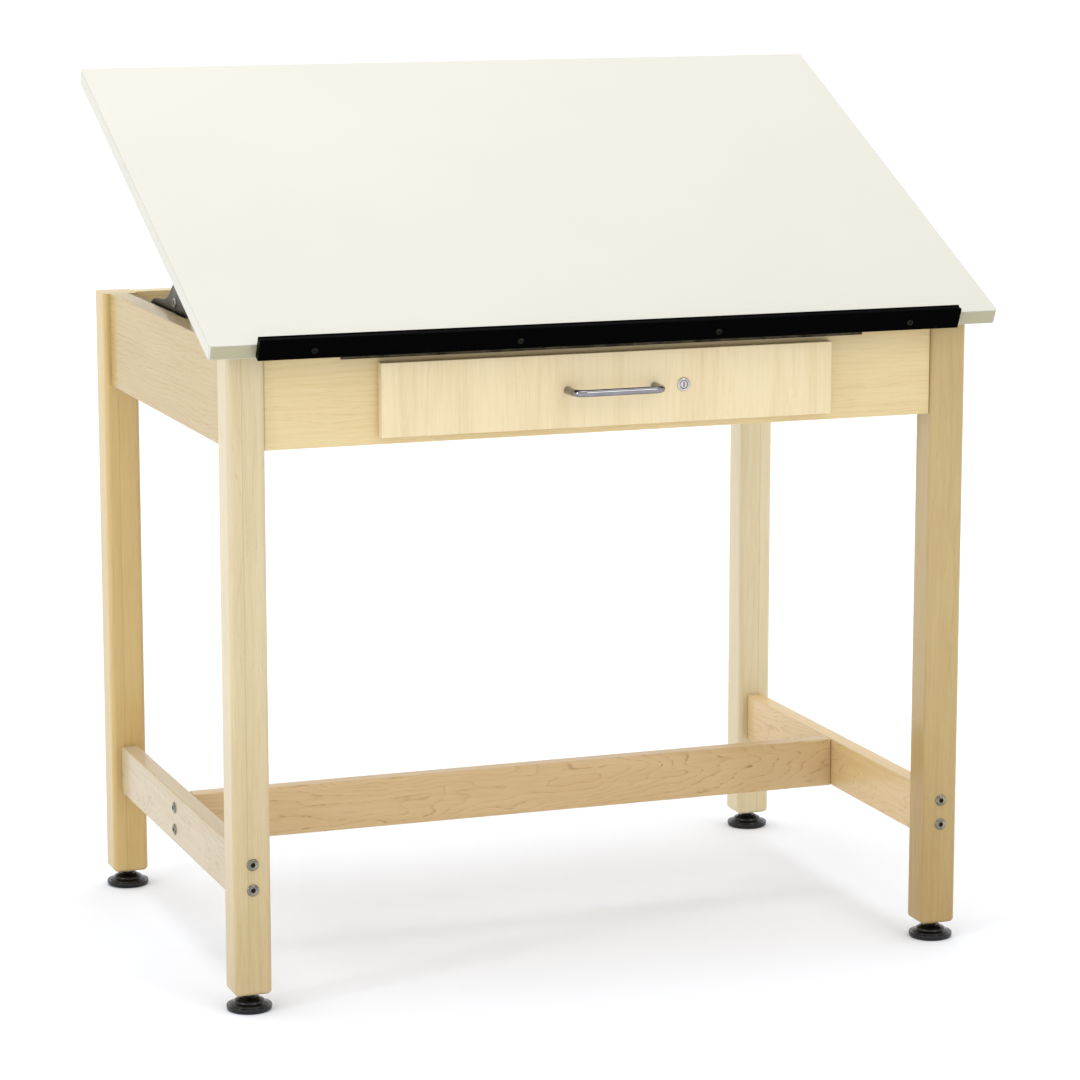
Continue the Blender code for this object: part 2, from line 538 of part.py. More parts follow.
def add_support(side, x_sign):
    """Notched track plate on the side apron, strut, and the bracket under the top."""
    inner = RAIL_IN - GAP

    def xs(near, far):
        """Two X values, measured inward from the side apron's face."""
        return sorted((x_sign * (inner - near), x_sign * (inner - far)))

    flat, steep = track_point(0), track_point(TOP_TILT_MOST)
    low, high = steep.y - 0.017, flat.y + 0.0125
    base, top, r = flat.z - 0.0135, FRAME_TOP - TRACK_BELOW_TOP, TRACK_ROUND
    near, far, under, over = low + r, high - r, base + r, top - r
    corners = ((near, under, 270), (near, over, 180), (far, over, 90), (far, under, 0))
    edge = [point for y, z, start in corners for point in arc((y, z), r, start, start - 90, 3)]
    x0, x1 = xs(0, TRACK_THICK)
    track = outline(f"track_plate_{side}", edge, TRACK_THICK, "YZ", BLACK_STEEL, middle=((x0 + x1) / 2, 0, 0))
    clear = STRUT_PIN + STRUT_FREE
    run = (flat - steep).length
    slope = math.degrees(math.atan2(flat.z - steep.z, flat.y - steep.y))
    slot = arc((0, 0), clear, 90, 270, 8) + arc((run, 0), clear, 270, 450, 8)
    slot = outline(f"track_slot_{side}", slot, 0.02, "YZ", None, middle=((x0 + x1) / 2, steep.y, steep.z))
    slot.rotation_euler = (math.radians(slope), 0, 0)
    notches = [track_point(math.radians(angle)) for angle in NOTCH_TILTS]
    notches = [((x0 + x1) / 2, spot.y, spot.z - NOTCH_DROP) for spot in notches]
    notches = rods(f"track_notches_{side}", notches, "X", clear - 0.0002, 0.02, sides=12)
    combine(track, slot, notches)

    pin, pivot = track_point(TOP_TILT), bracket_point(TOP_TILT)
    angle = math.atan2(pivot.z - pin.z, pivot.y - pin.y)
    x0, x1 = xs(STRUT_INWARD, STRUT_INWARD + STRUT_THICK)
    axis = empty(f"strut_axis_{side}", pivot + SHIFT)
    # The outline's upper side faces up and back, so it is drawn mirrored along the arm.
    points = []
    for u, v in strut_outline():
        y = u * math.cos(angle) + v * math.sin(angle)
        z = u * math.sin(angle) - v * math.cos(angle)
        points.append((y + pin.y - pivot.y, z + pin.z - pivot.z))
    strut = outline(f"strut_{side}", points, STRUT_THICK, "YZ", BLACK_STEEL, axis, ((x0 + x1) / 2, 0, 0))
    bore = rods(f"strut_bore_{side}", [(x_sign * inner, 0, 0)], "X", clear, 0.04, parent=axis)
    combine(strut, bore)
    # Heights run inward from the side apron: a post into the slot and a flat head on the strut's inner face.
    spot = (x_sign * inner, pin.y - pivot.y, pin.z - pivot.z)
    profile = [(0, 0.0112), (0.0072, 0.0112), (0.0072, 0.0084), (STRUT_PIN, 0.0084)]
    profile += [(STRUT_PIN, 0.0009), (0, 0.0009)]
    post = turned(f"strut_pin_{side}", profile, spot, "X", None, axis, sides=16)
    post.rotation_euler = (0, 0, math.pi if x_sign > 0 else 0)
    combine(strut, post, operation="UNION")

    thick, half, along, drop = BRACKET_THICK, BRACKET_HALF, BRACKET_ALONG, -BRACKET_DROP
    x0, x1 = xs(BRACKET_INWARD, BRACKET_INWARD + thick)
    ear = [(along + half * 0.72, UNDERSIDE - GAP), (along - half * 0.72, UNDERSIDE - GAP)]
    ear += arc((along, drop), STRUT_EYE, 200, 340, 10)
    ear = outline(f"top_bracket_{side}", ear, thick, "YZ", BLACK_STEEL, TOP, ((x0 + x1) / 2, 0, 0))
    f0, f1 = xs(BRACKET_INWARD + 0.001, BRACKET_INWARD + 0.030)
    low, high = (f0, along - half, UNDERSIDE - GAP - thick), (f1, along + half, UNDERSIDE - GAP)
    flange = box(f"top_bracket_flange_{side}", low, high, parent=TOP)
    profile = [(0, 0.0108), (STRUT_PIN, 0.0108), (STRUT_PIN, 0.0056), (0.0068, 0.0056)]
    profile += [(0.0068, 0.0032), (0, 0.0032)]
    spot = (x_sign * inner, along, drop)
    post = turned(f"top_bracket_post_{side}", profile, spot, "X", None, TOP, sides=16)
    post.rotation_euler = (0, 0, math.pi if x_sign > 0 else 0)
    combine(ear, flange, post, operation="UNION")


def add_drawer():
    """Overlay front, two grooved sides, back and floor, riding in two channel runners."""
    slide = empty("drawer_slide", SHIFT)
    half = DRAWER_FRONT_WIDE / 2
    inner_face = DRAWER_FACE + DRAWER_FRONT_THICK
    low, high = (-half, DRAWER_FACE, DRAWER_FRONT_LOW), (half, inner_face, DRAWER_FRONT_HIGH)
    front = box("drawer_front", low, high, PALE_MAPLE, slide, bevel=0.0006, steps=2)
    spot = (LOCK_X, DRAWER_FACE, FITTING_HIGH)
    hole = rods("lock_hole", [spot], "Y", LOCK_BARREL + GAP, 0.05, parent=slide, sides=20)
    combine(front, hole)

    start, floor_top = inner_face + GAP, DRAWER_FLOOR_LOW + DRAWER_FLOOR_THICK
    middle = (start + DRAWER_REAR) / 2
    outer = DRAWER_WIDE / 2
    inside = outer - DRAWER_SIDE_THICK
    groove = inside + FLOOR_GROOVE
    for side, x_sign in SIDES:
        section = [
            (outer, DRAWER_LOW), (outer, DRAWER_HIGH), (inside, DRAWER_HIGH), (inside, floor_top + GAP),
            (groove, floor_top + GAP), (groove, DRAWER_FLOOR_LOW - GAP), (inside, DRAWER_FLOOR_LOW - GAP),
            (inside, DRAWER_LOW),
        ]
        section = [(x_sign * a, b) for a, b in section]
        long = DRAWER_REAR - start
        outline(f"drawer_side_{side}", section, long, "XZ", PLYWOOD, slide, (0, middle, 0))
        wall, ledge = outer + RUNNER_SIDE_FREE, outer - RUNNER_LEDGE
        above, below = DRAWER_HIGH + RUNNER_FREE, DRAWER_LOW - RUNNER_FREE
        channel = [
            (wall + RUNNER_WALL, RUNNER_LOW), (wall + RUNNER_WALL, RUNNER_HIGH), (ledge, RUNNER_HIGH),
            (ledge, above), (wall, above), (wall, below), (ledge, below), (ledge, RUNNER_LOW),
        ]
        channel = [(x_sign * a, b) for a, b in channel]
        outline(f"drawer_runner_{side}", channel, 2 * (FRAME_IN - GAP), "XZ", MAPLE)
    low = (-inside + GAP, DRAWER_REAR - DRAWER_SIDE_THICK, floor_top + GAP)
    box("drawer_back", low, (inside - GAP, DRAWER_REAR, DRAWER_HIGH), PLYWOOD, slide, bevel=0.0005, steps=1)
    low = (-groove + GAP, start, DRAWER_FLOOR_LOW)
    box("drawer_floor", low, (groove - GAP, DRAWER_REAR, floor_top), PLYWOOD, slide)


def add_pull():
    """A bent wire pull, as a tube along straight runs and two quarter bends."""
    half, bend, reach = PULL_PITCH / 2, PULL_BEND, PULL_REACH
    path = [(-half, GAP)] + arc((-half + bend, reach - bend), bend, 180, 90, 6)
    path += arc((half - bend, reach - bend), bend, 90, 0, 6) + [(half, GAP)]
    curve = bpy.data.curves.new("drawer_pull", "CURVE")
    curve.dimensions = "3D"
    curve.bevel_depth = PULL_ROD
    curve.bevel_resolution = 3
    curve.use_fill_caps = True
    spline = curve.splines.new("POLY")
    spline.points.add(len(path) - 1)
    for point, (x, out) in zip(spline.points, path):
        point.co = (x, -out, 0, 1)
    made = bpy.data.objects.new("drawer_pull", curve)
    bpy.context.scene.collection.objects.link(made)
    slide = bpy.data.objects["drawer_slide"]
    place("drawer_pull", solid_mesh("drawer_pull", made), NICKEL, slide, (0, DRAWER_FACE, FITTING_HIGH))


def add_lock():
    """Cam lock: a flanged barrel through the drawer front and a plug whose cam turns up behind the apron."""
    slide = bpy.data.objects["drawer_slide"]
    face, cam_front = DRAWER_FACE, -FRAME_IN + 0.0018
    spot = (LOCK_X, 0, FITTING_HIGH)
    # Heights run out of the drawer front, along -Y.
    rim, barrel, bore = LOCK_RIM, LOCK_BARREL, LOCK_BORE
    front, rear = -face + GAP, -cam_front + 0.0006
    profile = [(bore, front + 0.0012), (bore + 0.0006, front + 0.0016), (rim - 0.0008, front + 0.0016)]
    profile += [(rim, front + 0.0009), (rim, front), (barrel, front), (barrel, rear), (bore, rear)]
    profile.append(profile[0])
    body = turned("lock_body", profile, spot, "Z", NICKEL, slide, sides=20)
    body.rotation_euler = (math.radians(90), 0, 0)
    radius = bore - GAP
    profile = [(0, front + 0.0013), (radius - 0.0004, front + 0.0013), (radius, front + 0.0009)]
    end = -cam_front - CAM_THICK - 0.0004
    profile += [(radius, end), (0, end)]
    plug = turned("lock_plug", profile, spot, "Z", NICKEL, slide, sides=20)
    plug.rotation_euler = (math.radians(90), 0, 0)
    low, high = (-0.0006, -0.0028, front - 0.004), (0.0006, 0.0028, front + 0.01)
    combine(plug, box("key_way", low, high, parent=plug))
    cam = arc((0, 0), CAM_HALF, 90, 270, 8) + arc((CAM_LONG, 0), 0.8 * CAM_HALF, 270, 450, 6)
    cam = outline("lock_cam", cam, CAM_THICK, "Z", None, plug, (0, 0, -cam_front - CAM_THICK / 2))
    combine(plug, cam, operation="UNION")


add_legs()
add_aprons()
add_stretchers()
add_braces()
add_bolts()
add_levellers()
add_top()
add_hinge()
for side_name, sign in SIDES:
    add_support(side_name, sign)
add_drawer()
add_pull()
add_lock()
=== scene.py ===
"""Looks of the drafting table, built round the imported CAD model.

Every piece is made in the row frame, in metres, and rides on the body of the CAD node that it stands for.
Pieces of the tilting top are drawn with the top's own axes (X, along the top from the hinge line, up from it)
and then turned by TOP_AXES.
"""
import json
import math

import bmesh
import bpy
from mathutils import Matrix, Vector


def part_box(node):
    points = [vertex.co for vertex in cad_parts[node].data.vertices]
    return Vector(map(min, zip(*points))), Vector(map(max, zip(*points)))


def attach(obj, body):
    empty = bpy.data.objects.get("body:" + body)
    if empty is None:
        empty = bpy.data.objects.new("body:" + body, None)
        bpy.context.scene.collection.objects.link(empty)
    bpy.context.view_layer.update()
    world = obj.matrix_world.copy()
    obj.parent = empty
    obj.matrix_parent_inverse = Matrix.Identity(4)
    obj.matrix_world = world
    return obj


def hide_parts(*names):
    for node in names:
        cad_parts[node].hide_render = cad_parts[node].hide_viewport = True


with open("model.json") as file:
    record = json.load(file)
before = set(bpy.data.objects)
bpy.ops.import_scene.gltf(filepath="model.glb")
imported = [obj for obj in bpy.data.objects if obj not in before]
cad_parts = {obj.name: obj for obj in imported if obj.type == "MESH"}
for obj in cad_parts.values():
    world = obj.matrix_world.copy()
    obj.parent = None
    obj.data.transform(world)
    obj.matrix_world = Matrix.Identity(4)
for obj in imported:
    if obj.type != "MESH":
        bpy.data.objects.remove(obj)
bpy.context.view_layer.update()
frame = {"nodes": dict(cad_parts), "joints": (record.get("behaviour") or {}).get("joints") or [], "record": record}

# Sizes that the frame doesn't hold
GAP, TINY = 0.0003, 1e-6
LEG_ROUND, FOOT_ROUND = 0.006, 0.005
BOLT_HEAD, BOLT_HEAD_THICK, BOLT_SHANK = 0.0135, 0.0018, 0.006
KNUCKLE_OUT, KNUCKLE_IN, HINGE_PIN = 0.0029, 0.0017, 0.0015
HINGE_PITCH, LEAF_THICK, LEAF_REACH = 0.0254, 0.0012, 0.0155
TROUGH_DEEP, TROUGH_RISE, TROUGH_HIGH = 0.0097, 0.010, 0.025
TRACK_SLOPE, TRACK_THICK, STRUT_THICK, STRUT_PIN = math.radians(7.0), 0.003, 0.003, 0.004
STRUT_ARM, STRUT_HEEL, STRUT_EYE = 0.0092, 0.0120, 0.0115
RIVET_AT = (0.128, -0.012)
STRUT_LOBES = ((0.044, (-0.006, 0.024, 0.030, 0.112)), (0.050, (0.030, 0.090, 0.160, 0.235)))
BRACKET_ALONG, BRACKET_DROP = 0.265, 0.012
TILT_MOST = math.radians(45.0)
STEM_RADIUS, THREAD_PITCH, THREAD_DEEP = 0.004, 0.00125, 0.00045

RECORD = frame["record"]
JOINTS = {joint["name"]: joint for joint in frame["joints"]}
MOUNTS = {mount["name"]: mount for mount in RECORD["mounts"]}
HINGE = Vector(JOINTS["top_tilt"]["pos_m"])
SURFACE = MOUNTS["drawing_surface"]
TILT = math.atan2(-SURFACE["axis"][1], SURFACE["axis"][2])
TOP_AXES = Matrix.Translation(HINGE) @ Matrix.Rotation(TILT, 4, "X")
BLACK, PLATED = "blackened_steel", "zinc_steel"
SIDES = (("left", -1), ("right", 1))
ENDS = (("front", -1), ("rear", 1))
CORNERS = [(f"{end}_{side}", y, x) for end, y in ENDS for side, x in SIDES]


# ---- materials

class Nodes:
    """Short hand for building one material's node tree."""

    def __init__(self, name):
        self.material = bpy.data.materials.new(name)
        self.material.use_nodes = True
        self.tree = self.material.node_tree
        self.shader = self.tree.nodes["Principled BSDF"]
        self.points = self.add("ShaderNodeTexCoord").outputs
        self.place = self.points["Object"]

    def add(self, kind, inputs=(), **settings):
        """A node with its settings, and its inputs linked or set."""
        node = self.tree.nodes.new(kind)
        for key, value in settings.items():
            setattr(node, key, value)
        for key, value in dict(inputs).items():
            self.feed(node.inputs[key], value)
        return node

    def feed(self, socket, value):
        """Links a socket, or sets a plain value."""
        if isinstance(value, bpy.types.NodeSocket):
            self.tree.links.new(value, socket)
        else:
            socket.default_value = value

    def math(self, operation, first, second=0.0, third=0.0, clamp=False):
        inputs = {0: first, 1: second, 2: third}
        return self.add("ShaderNodeMath", inputs, operation=operation, use_clamp=clamp).outputs[0]

    def line(self, value, slope, start, clamp=False):
        """value * slope + start."""
        return self.math("MULTIPLY_ADD", value, slope, start, clamp)

    def split(self, vector):
        """The X, Y and Z sockets of a vector."""
        return self.add("ShaderNodeSeparateXYZ", {0: vector}).outputs

    def length(self, vector):
        return self.add("ShaderNodeVectorMath", {0: vector}, operation="LENGTH").outputs["Value"]

    def stretch(self, vector, scale, shift=(0, 0, 0)):
        """The vector scaled, then shifted."""
        inputs = {"Vector": vector, "Scale": scale, "Location": shift}
        return self.add("ShaderNodeMapping", inputs).outputs[0]

    def noise(self, vector, scale, detail=2.0, rough=0.5, shift=(0, 0, 0)):
        """Noise, 0 to 1, with a scale per axis."""
        vector = self.stretch(vector, scale, shift)
        inputs = {"Vector": vector, "Scale": 1.0, "Detail": detail, "Roughness": rough}
        return self.add("ShaderNodeTexNoise", inputs).outputs["Fac"]

    def between(self, value, low, high, to_low=0.0, to_high=1.0):
        """A smooth step of value from low to high."""
        inputs = enumerate((value, low, high, to_low, to_high))
        return self.add("ShaderNodeMapRange", inputs, interpolation_type="SMOOTHSTEP").outputs[0]

    def mix(self, share, first, second):
        node = self.add("ShaderNodeMix", data_type="RGBA")
        self.feed(node.inputs["Factor"], share)
        for socket, value in ((node.inputs[6], first), (node.inputs[7], second)):
            self.feed(socket, value if isinstance(value, bpy.types.NodeSocket) else (*value, 1))
        return node.outputs[2]

    def bump(self, height, strength, distance):
        node = self.add("ShaderNodeBump", {"Strength": strength, "Distance": distance, "Height": height})
        self.feed(self.shader.inputs["Normal"], node.outputs[0])

    def done(self, colour, roughness, **plain):
        """Sets colour and roughness, and any other shader socket to a plain number."""
        is_socket = isinstance(colour, bpy.types.NodeSocket)
        self.feed(self.shader.inputs["Base Color"], colour if is_socket else (*colour, 1))
        self.feed(self.shader.inputs["Roughness"], roughness)
        for key, value in plain.items():
            self.shader.inputs[key.replace("_", " ")].default_value = value
        return self.material


PITH_FLECK, PLY_PAIR = (0.30, 0.165, 0.075), 0.0032
FRONT_TONE, BLOCK_TONE = (0.75, 0.622, 0.383), (0.68, 0.50, 0.285)
STRETCHER_TONES = {"left": (0.52, 0.42, 0.26), "right": (0.705, 0.525, 0.265), "centre": (0.60, 0.425, 0.212)}
APRON_TONES = {"front": (0.69, 0.545, 0.283), "rear": (0.69, 0.545, 0.29), "left": (0.475, 0.348, 0.132),
               "right": (0.72, 0.57, 0.34)}
LEG_TONES = {"front_left": (0.60, 0.505, 0.308), "front_right": (0.475, 0.352, 0.150),
             "rear_left": (0.58, 0.42, 0.170), "rear_right": (0.70, 0.61, 0.395)}


def maple(name, grain, seed, base, pith, taper=0.10, ring=0.011, figure=0.5, seam=None, foot=0.0):
    """Lacquered hard maple: thin broken growth lines round a pith line, fibres, silk and pith flecks.

    base is the light colour, pith the pith line's place on the two other axes, taper draws the rings out into
    cathedrals, figure is the strength of the growth lines, seam = (axis, place) glues the board up from two,
    and foot is painted shade that deepens the colour toward the floor.
    """
    made = Nodes(name)
    axes = made.split(made.place)
    order = {"X": (0, 1, 2), "Y": (1, 0, 2), "Z": (2, 0, 1)}[grain]
    along, first, second = (axes[i] for i in order)
    if seam:
        half = made.math("GREATER_THAN", axes[seam[0]], seam[1])
        along = made.line(half, 0.37, along)
        first = made.line(half, 0.021, first)
    wood = made.add("ShaderNodeCombineXYZ", {0: along, 1: first, 2: second}).outputs[0]

    def shifted(extra):
        return tuple(seed * factor + extra for factor in (1.37, 2.11, 3.73))

    centre = made.stretch(wood, (taper, 1, 1), (taper * (seed % 3 - 1) * 0.35, -pith[0], -pith[1]))
    sway = made.noise(wood, (3.0, 9, 9), 3.0, 0.55, shifted(0))
    wobble = made.noise(wood, (22, 70, 70), 2.0, 0.5, shifted(7))
    reach = made.line(sway, 0.052, made.length(centre))
    reach = made.line(wobble, 0.0032, reach)
    phase = made.math("FRACT", made.math("DIVIDE", reach, ring))
    rise, fall = made.between(phase, 0.80, 0.955), made.between(phase, 0.965, 0.995, 1.0, 0.0)
    line = made.math("MULTIPLY", rise, fall)
    shade = made.between(phase, 0.10, 0.95)
    dashes = made.noise(wood, (75, 300, 300), 3.0, 0.65, shifted(5))
    broken = made.between(dashes, 0.44, 0.66)
    patch = made.noise(wood, (4, 24, 24), 2.0, 0.5, shifted(3))
    broken = made.math("MULTIPLY", broken, made.between(patch, 0.38, 0.62, 0.15, 1.0))
    fibre = made.noise(wood, (34, 1100, 1100), 3.0, 0.62, shifted(0))
    silk = made.noise(wood, (9, 210, 210), 2.0, 0.55, shifted(9))
    broad = made.noise(wood, (2.2, 16, 16), 2.0, 0.5, shifted(2))
    dark = made.math("MULTIPLY", shade, figure * 0.20)
    dark = made.line(line, figure * 0.20, dark)
    dark = made.line(made.between(fibre, 0.32, 0.72, -0.10, 0.16), 1.0, dark)
    dark = made.line(made.between(silk, 0.32, 0.70, -0.08, 0.13), 1.0, dark)
    dark = made.math("ADD", dark, made.between(broad, 0.30, 0.70, -0.10, 0.24), clamp=True)
    # Painted shade: the colour deepens toward the floor, by the foot share.
    if foot:
        dark = made.math("ADD", dark, made.between(axes[2], 0.06, 0.40, foot, 0.0), clamp=True)
    deep = tuple(c * f for c, f in zip(base, (0.80, 0.70, 0.54)))
    colour = made.mix(dark, base, deep)
    streak = tuple(c * f for c, f in zip(deep, (0.62, 0.50, 0.42)))
    drawn = made.math("MULTIPLY", made.math("MULTIPLY", line, broken), min(0.85, figure * 1.2))
    colour = made.mix(drawn, colour, streak)
    grains = made.noise(wood, (95, 760, 760), 1.0, 0.4, shifted(4))
    fleck = made.between(grains, 0.70, 0.80, 0.0, 0.15 + figure * 0.5)
    fleck = made.math("MULTIPLY", fleck, made.between(patch, 0.45, 0.62))
    colour = made.mix(fleck, colour, PITH_FLECK)
    if seam:
        near = made.math("ABSOLUTE", made.math("SUBTRACT", axes[seam[0]], seam[1]))
        colour = made.mix(made.between(near, 0.0001, 0.0006, 0.35, 0.0), colour, PITH_FLECK)
    made.bump(made.line(fleck, -0.8, fibre), 0.10, 0.0003)
    gloss = made.line(silk, 0.16, 0.36)
    return made.done(colour, gloss, Coat_Weight=0.45, Coat_Roughness=0.16, Specular_IOR_Level=0.30)


def plywood(name, seed, across):
    """Birch drawer stock: quiet face grain, and its plies as stripes on the edges."""
    made = Nodes(name)
    axes, facing = made.split(made.place), made.split(made.points["Normal"])
    shift = (seed, seed * 2, seed * 3)
    scale = {0: (120, 6, 120), 1: (6, 120, 120), 2: (6, 6, 120)}[across]
    grain = made.noise(made.place, scale, 3.0, 0.6, shift)
    cloud = made.noise(made.place, (7, 7, 7), 2.0, 0.5, shift)
    face = made.mix(made.between(grain, 0.3, 0.75), (0.78, 0.63, 0.42), (0.62, 0.46, 0.27))
    face = made.mix(made.between(cloud, 0.35, 0.7, 0.0, 0.35), face, (0.84, 0.71, 0.50))
    ply = made.math("FRACT", made.math("DIVIDE", axes[across], PLY_PAIR))
    stripe = made.math("MULTIPLY", made.between(ply, 0.42, 0.50), made.between(ply, 0.92, 1.0, 1.0, 0.0))
    edge = made.mix(stripe, (0.72, 0.55, 0.34), (0.40, 0.25, 0.13))
    flat = made.math("ABSOLUTE", facing[across])
    colour = made.mix(made.between(flat, 0.4, 0.6), edge, face)
    made.bump(grain, 0.08, 0.0002)
    return made.done(colour, made.line(grain, 0.15, 0.45), Coat_Weight=0.05)


def laminate(name, colour, shade, gloss=0.40):
    """Matte high-pressure laminate: faint clouding and a fine, even tooth."""
    made = Nodes(name)
    cloud = made.noise(made.place, (4, 4, 4), 3.0, 0.55)
    tooth = made.noise(made.place, (1500, 1500, 1500), 2.0, 0.6)
    speck = made.noise(made.place, (260, 260, 260), 2.0, 0.6)
    share = made.line(speck, 0.35, made.between(cloud, 0.3, 0.7, -0.1, 0.45), clamp=True)
    made.bump(tooth, 0.10, 0.00012)
    rough = made.line(cloud, 0.10, gloss)
    return made.done(made.mix(share, colour, shade), rough, Specular_IOR_Level=0.35)


def pvc(name):
    """Black extruded PVC: die lines along X, a little dust in the gloss."""
    made = Nodes(name)
    lines = made.noise(made.place, (1.5, 900, 900), 3.0, 0.6)
    dust = made.noise(made.place, (45, 45, 45), 4.0, 0.65)
    share = made.between(dust, 0.55, 0.80, 0.0, 0.5)
    colour = made.mix(share, (0.0006, 0.0006, 0.0008), (0.0025, 0.0025, 0.0030))
    made.bump(lines, 0.12, 0.00015)
    return made.done(colour, made.line(dust, 0.16, 0.14), Specular_IOR_Level=0.01)


def metal(name, first, second, gloss, lines=(90, 90, 90), spread=0.16, metallic=1.0, bump=0.06):
    """Plated or oxidised metal: two tones clouded together, gloss varied along the brushing."""
    made = Nodes(name)
    cloud = made.noise(made.place, (55, 55, 55), 4.0, 0.6)
    brush = made.noise(made.place, lines, 2.0, 0.6)
    made.bump(brush, bump, 0.0001)
    rough = made.line(brush, spread, gloss)
    return made.done(made.mix(made.between(cloud, 0.3, 0.7), first, second), rough, Metallic=metallic)


def rubber(name):
    """Moulded black nylon and rubber of the feet, scuffed a little."""
    made = Nodes(name)
    scuff = made.noise(made.place, (160, 160, 160), 4.0, 0.65)
    pebble = made.noise(made.place, (1800, 1800, 1800), 2.0, 0.5)
    share = made.between(scuff, 0.55, 0.78, 0.0, 0.7)
    colour = made.mix(share, (0.0015, 0.0015, 0.0018), (0.009, 0.0095, 0.010))
    made.bump(pebble, 0.15, 0.0001)
    return made.done(colour, made.line(scuff, 0.20, 0.12), Specular_IOR_Level=0.40)


ALMOND = laminate("almond_laminate_sheet", (0.535, 0.523, 0.464), (0.52, 0.506, 0.443))
ALMOND_EDGE = laminate("almond_edge_band", (0.62, 0.61, 0.53), (0.59, 0.575, 0.49), 0.30)
# A darker copy of the edge band for the board's front edge: painted shade, since that edge faces down and away
# from the lamps.
ALMOND_FRONT_SHADE = laminate("almond_front_band_painted_shade", (0.41, 0.388, 0.255), (0.375, 0.352, 0.225), 0.34)
BACKER = laminate("pale_backer_sheet", (0.60, 0.57, 0.51), (0.50, 0.47, 0.41), 0.5)
PVC = pvc("black_pvc_extrusion")
STEEL = metal("dark_oxide_steel", (0.012, 0.010, 0.006), (0.072, 0.060, 0.034), 0.22, (60, 60, 60), 0.3, 0.85)
NICKEL = metal("satin_nickel", (0.24, 0.235, 0.245), (0.28, 0.275, 0.285), 0.07, (1, 900, 900), 0.06,
               bump=0.01)
LOCK_PLATE = metal("bright_nickel", (0.47, 0.435, 0.42), (0.58, 0.54, 0.525), 0.12, (1, 900, 900), 0.08,
                   bump=0.02)
BRONZE = metal("dark_bolt_plate", (0.15, 0.14, 0.11), (0.34, 0.315, 0.25), 0.10, (300, 300, 300), 0.12,
               bump=0.10)
# Near-black metal: the dark screws' own black finish, and painted shade on the faces inside the connector bolts'
# hex sockets.
RECESS_SHADE_BLACK_METAL = metal("recess_shade_and_black_screw_metal", (0.012, 0.011, 0.009), (0.030, 0.027, 0.022), 0.35)
ZINC = metal("zinc_plate", (0.30, 0.29, 0.27), (0.42, 0.40, 0.35), 0.26, (400, 400, 400), 0.2, bump=0.12)
RUBBER = rubber("black_foot_rubber")


# ---- mesh tools

def box_of(node):
    low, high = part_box(node)
    return low, high, (low + high) / 2, high - low


def body_of(node):
    return next(body for body, nodes in RECORD["behaviour"]["bodies"].items() if node in nodes)


def slot_of(node):
    return next(part["material_slot"] for part in RECORD["subparts"] if part["node"] == node)


def smooth(mesh, angle, looks):
    """Gives a mesh its materials, and smooth shading up to an angle."""
    for look in looks:
        mesh.materials.append(look)
    mesh.shade_smooth()
    mesh.set_sharp_from_angle(angle=math.radians(angle))
    return mesh


def piece(name, shape, look, nodes=(), body=None, slot=None, at=None, angle=40, weighted=True, turn=None):
    """Shows a shape as a piece that stands for CAD nodes, or that only rides on a body."""
    mesh = to_mesh(shape, name, turn) if isinstance(shape, bmesh.types.BMesh) else shape
    made = bpy.data.objects.new(name, mesh)
    bpy.context.scene.collection.objects.link(made)
    if not mesh.materials:
        smooth(mesh, angle, look if isinstance(look, tuple) else (look,))
    if at is not None:
        made.matrix_world = at
    if weighted:
        made.modifiers.new("flat_faces", "WEIGHTED_NORMAL").keep_sharp = True
    nodes = (nodes,) if isinstance(nodes, str) else nodes
    if nodes:
        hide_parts(*nodes)
        body, slot = body or body_of(nodes[0]), slot or slot_of(nodes[0])
    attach(made, body)
    return made


def zinc_piece(name, shape, body, turn=None, angle=40):
    """A plated part with no CAD node."""
    piece(name, shape, ZINC, (), body, PLATED, angle=angle, turn=turn)


def to_mesh(shape, name, turn=None):
    """Closes a bmesh into a mesh, after an optional matrix."""
    if turn is not None:
        bmesh.ops.transform(shape, matrix=turn, verts=shape.verts)
    bmesh.ops.recalc_face_normals(shape, faces=shape.faces)
    mesh = bpy.data.meshes.new(name)
    shape.to_mesh(mesh)
    shape.free()
    return mesh


def edges_along(shape, axis):
    """The edges that run along one axis."""
    others = [i for i in range(3) if i != axis]
    return [
        e for e in shape.edges
        if all(abs(e.verts[0].co[i] - e.verts[1].co[i]) < TINY for i in others)
        and abs(e.verts[0].co[axis] - e.verts[1].co[axis]) > TINY
    ]


def soften(shape, edges, offset, steps):
    """Rounds edges of a bmesh."""
    bmesh.ops.bevel(shape, geom=edges, offset=offset, segments=steps, profile=0.5, affect="EDGES")


def block(low, high, edge=0.0012, steps=3):
    """A box with rounded edges."""
    low, high = Vector(low), Vector(high)
    shape = bmesh.new()
    bmesh.ops.create_cube(shape, size=1)
    bmesh.ops.scale(shape, vec=high - low, verts=shape.verts)
    bmesh.ops.translate(shape, vec=(low + high) / 2, verts=shape.verts)
    if edge:
        soften(shape, shape.edges[:], edge, steps)
    return shape


def prism(points, low, high, plane, edge=0.0, steps=2):
    """An outline in the plane YZ, XZ or XY, drawn out from low to high."""
    shape = bmesh.new()
    place = {
        "YZ": lambda a, b, t: (t, a, b), "XZ": lambda a, b, t: (a, t, b), "XY": lambda a, b, t: (a, b, t)
    }[plane]
    rings = [[shape.verts.new(place(a, b, t)) for a, b in points] for t in (low, high)]
    caps = [shape.faces.new(ring) for ring in rings]
    for i in range(len(points)):
        j = (i + 1) % len(points)
        shape.faces.new((rings[0][i], rings[0][j], rings[1][j], rings[1][i]))
    bmesh.ops.recalc_face_normals(shape, faces=shape.faces)
    if edge:
        rims = list(dict.fromkeys(e for cap in caps for e in cap.edges))
        soften(shape, rims, edge, steps)
    return shape


def mm(points):
    """An outline given in millimetres."""
    return [(a / 1000, b / 1000) for a, b in points]


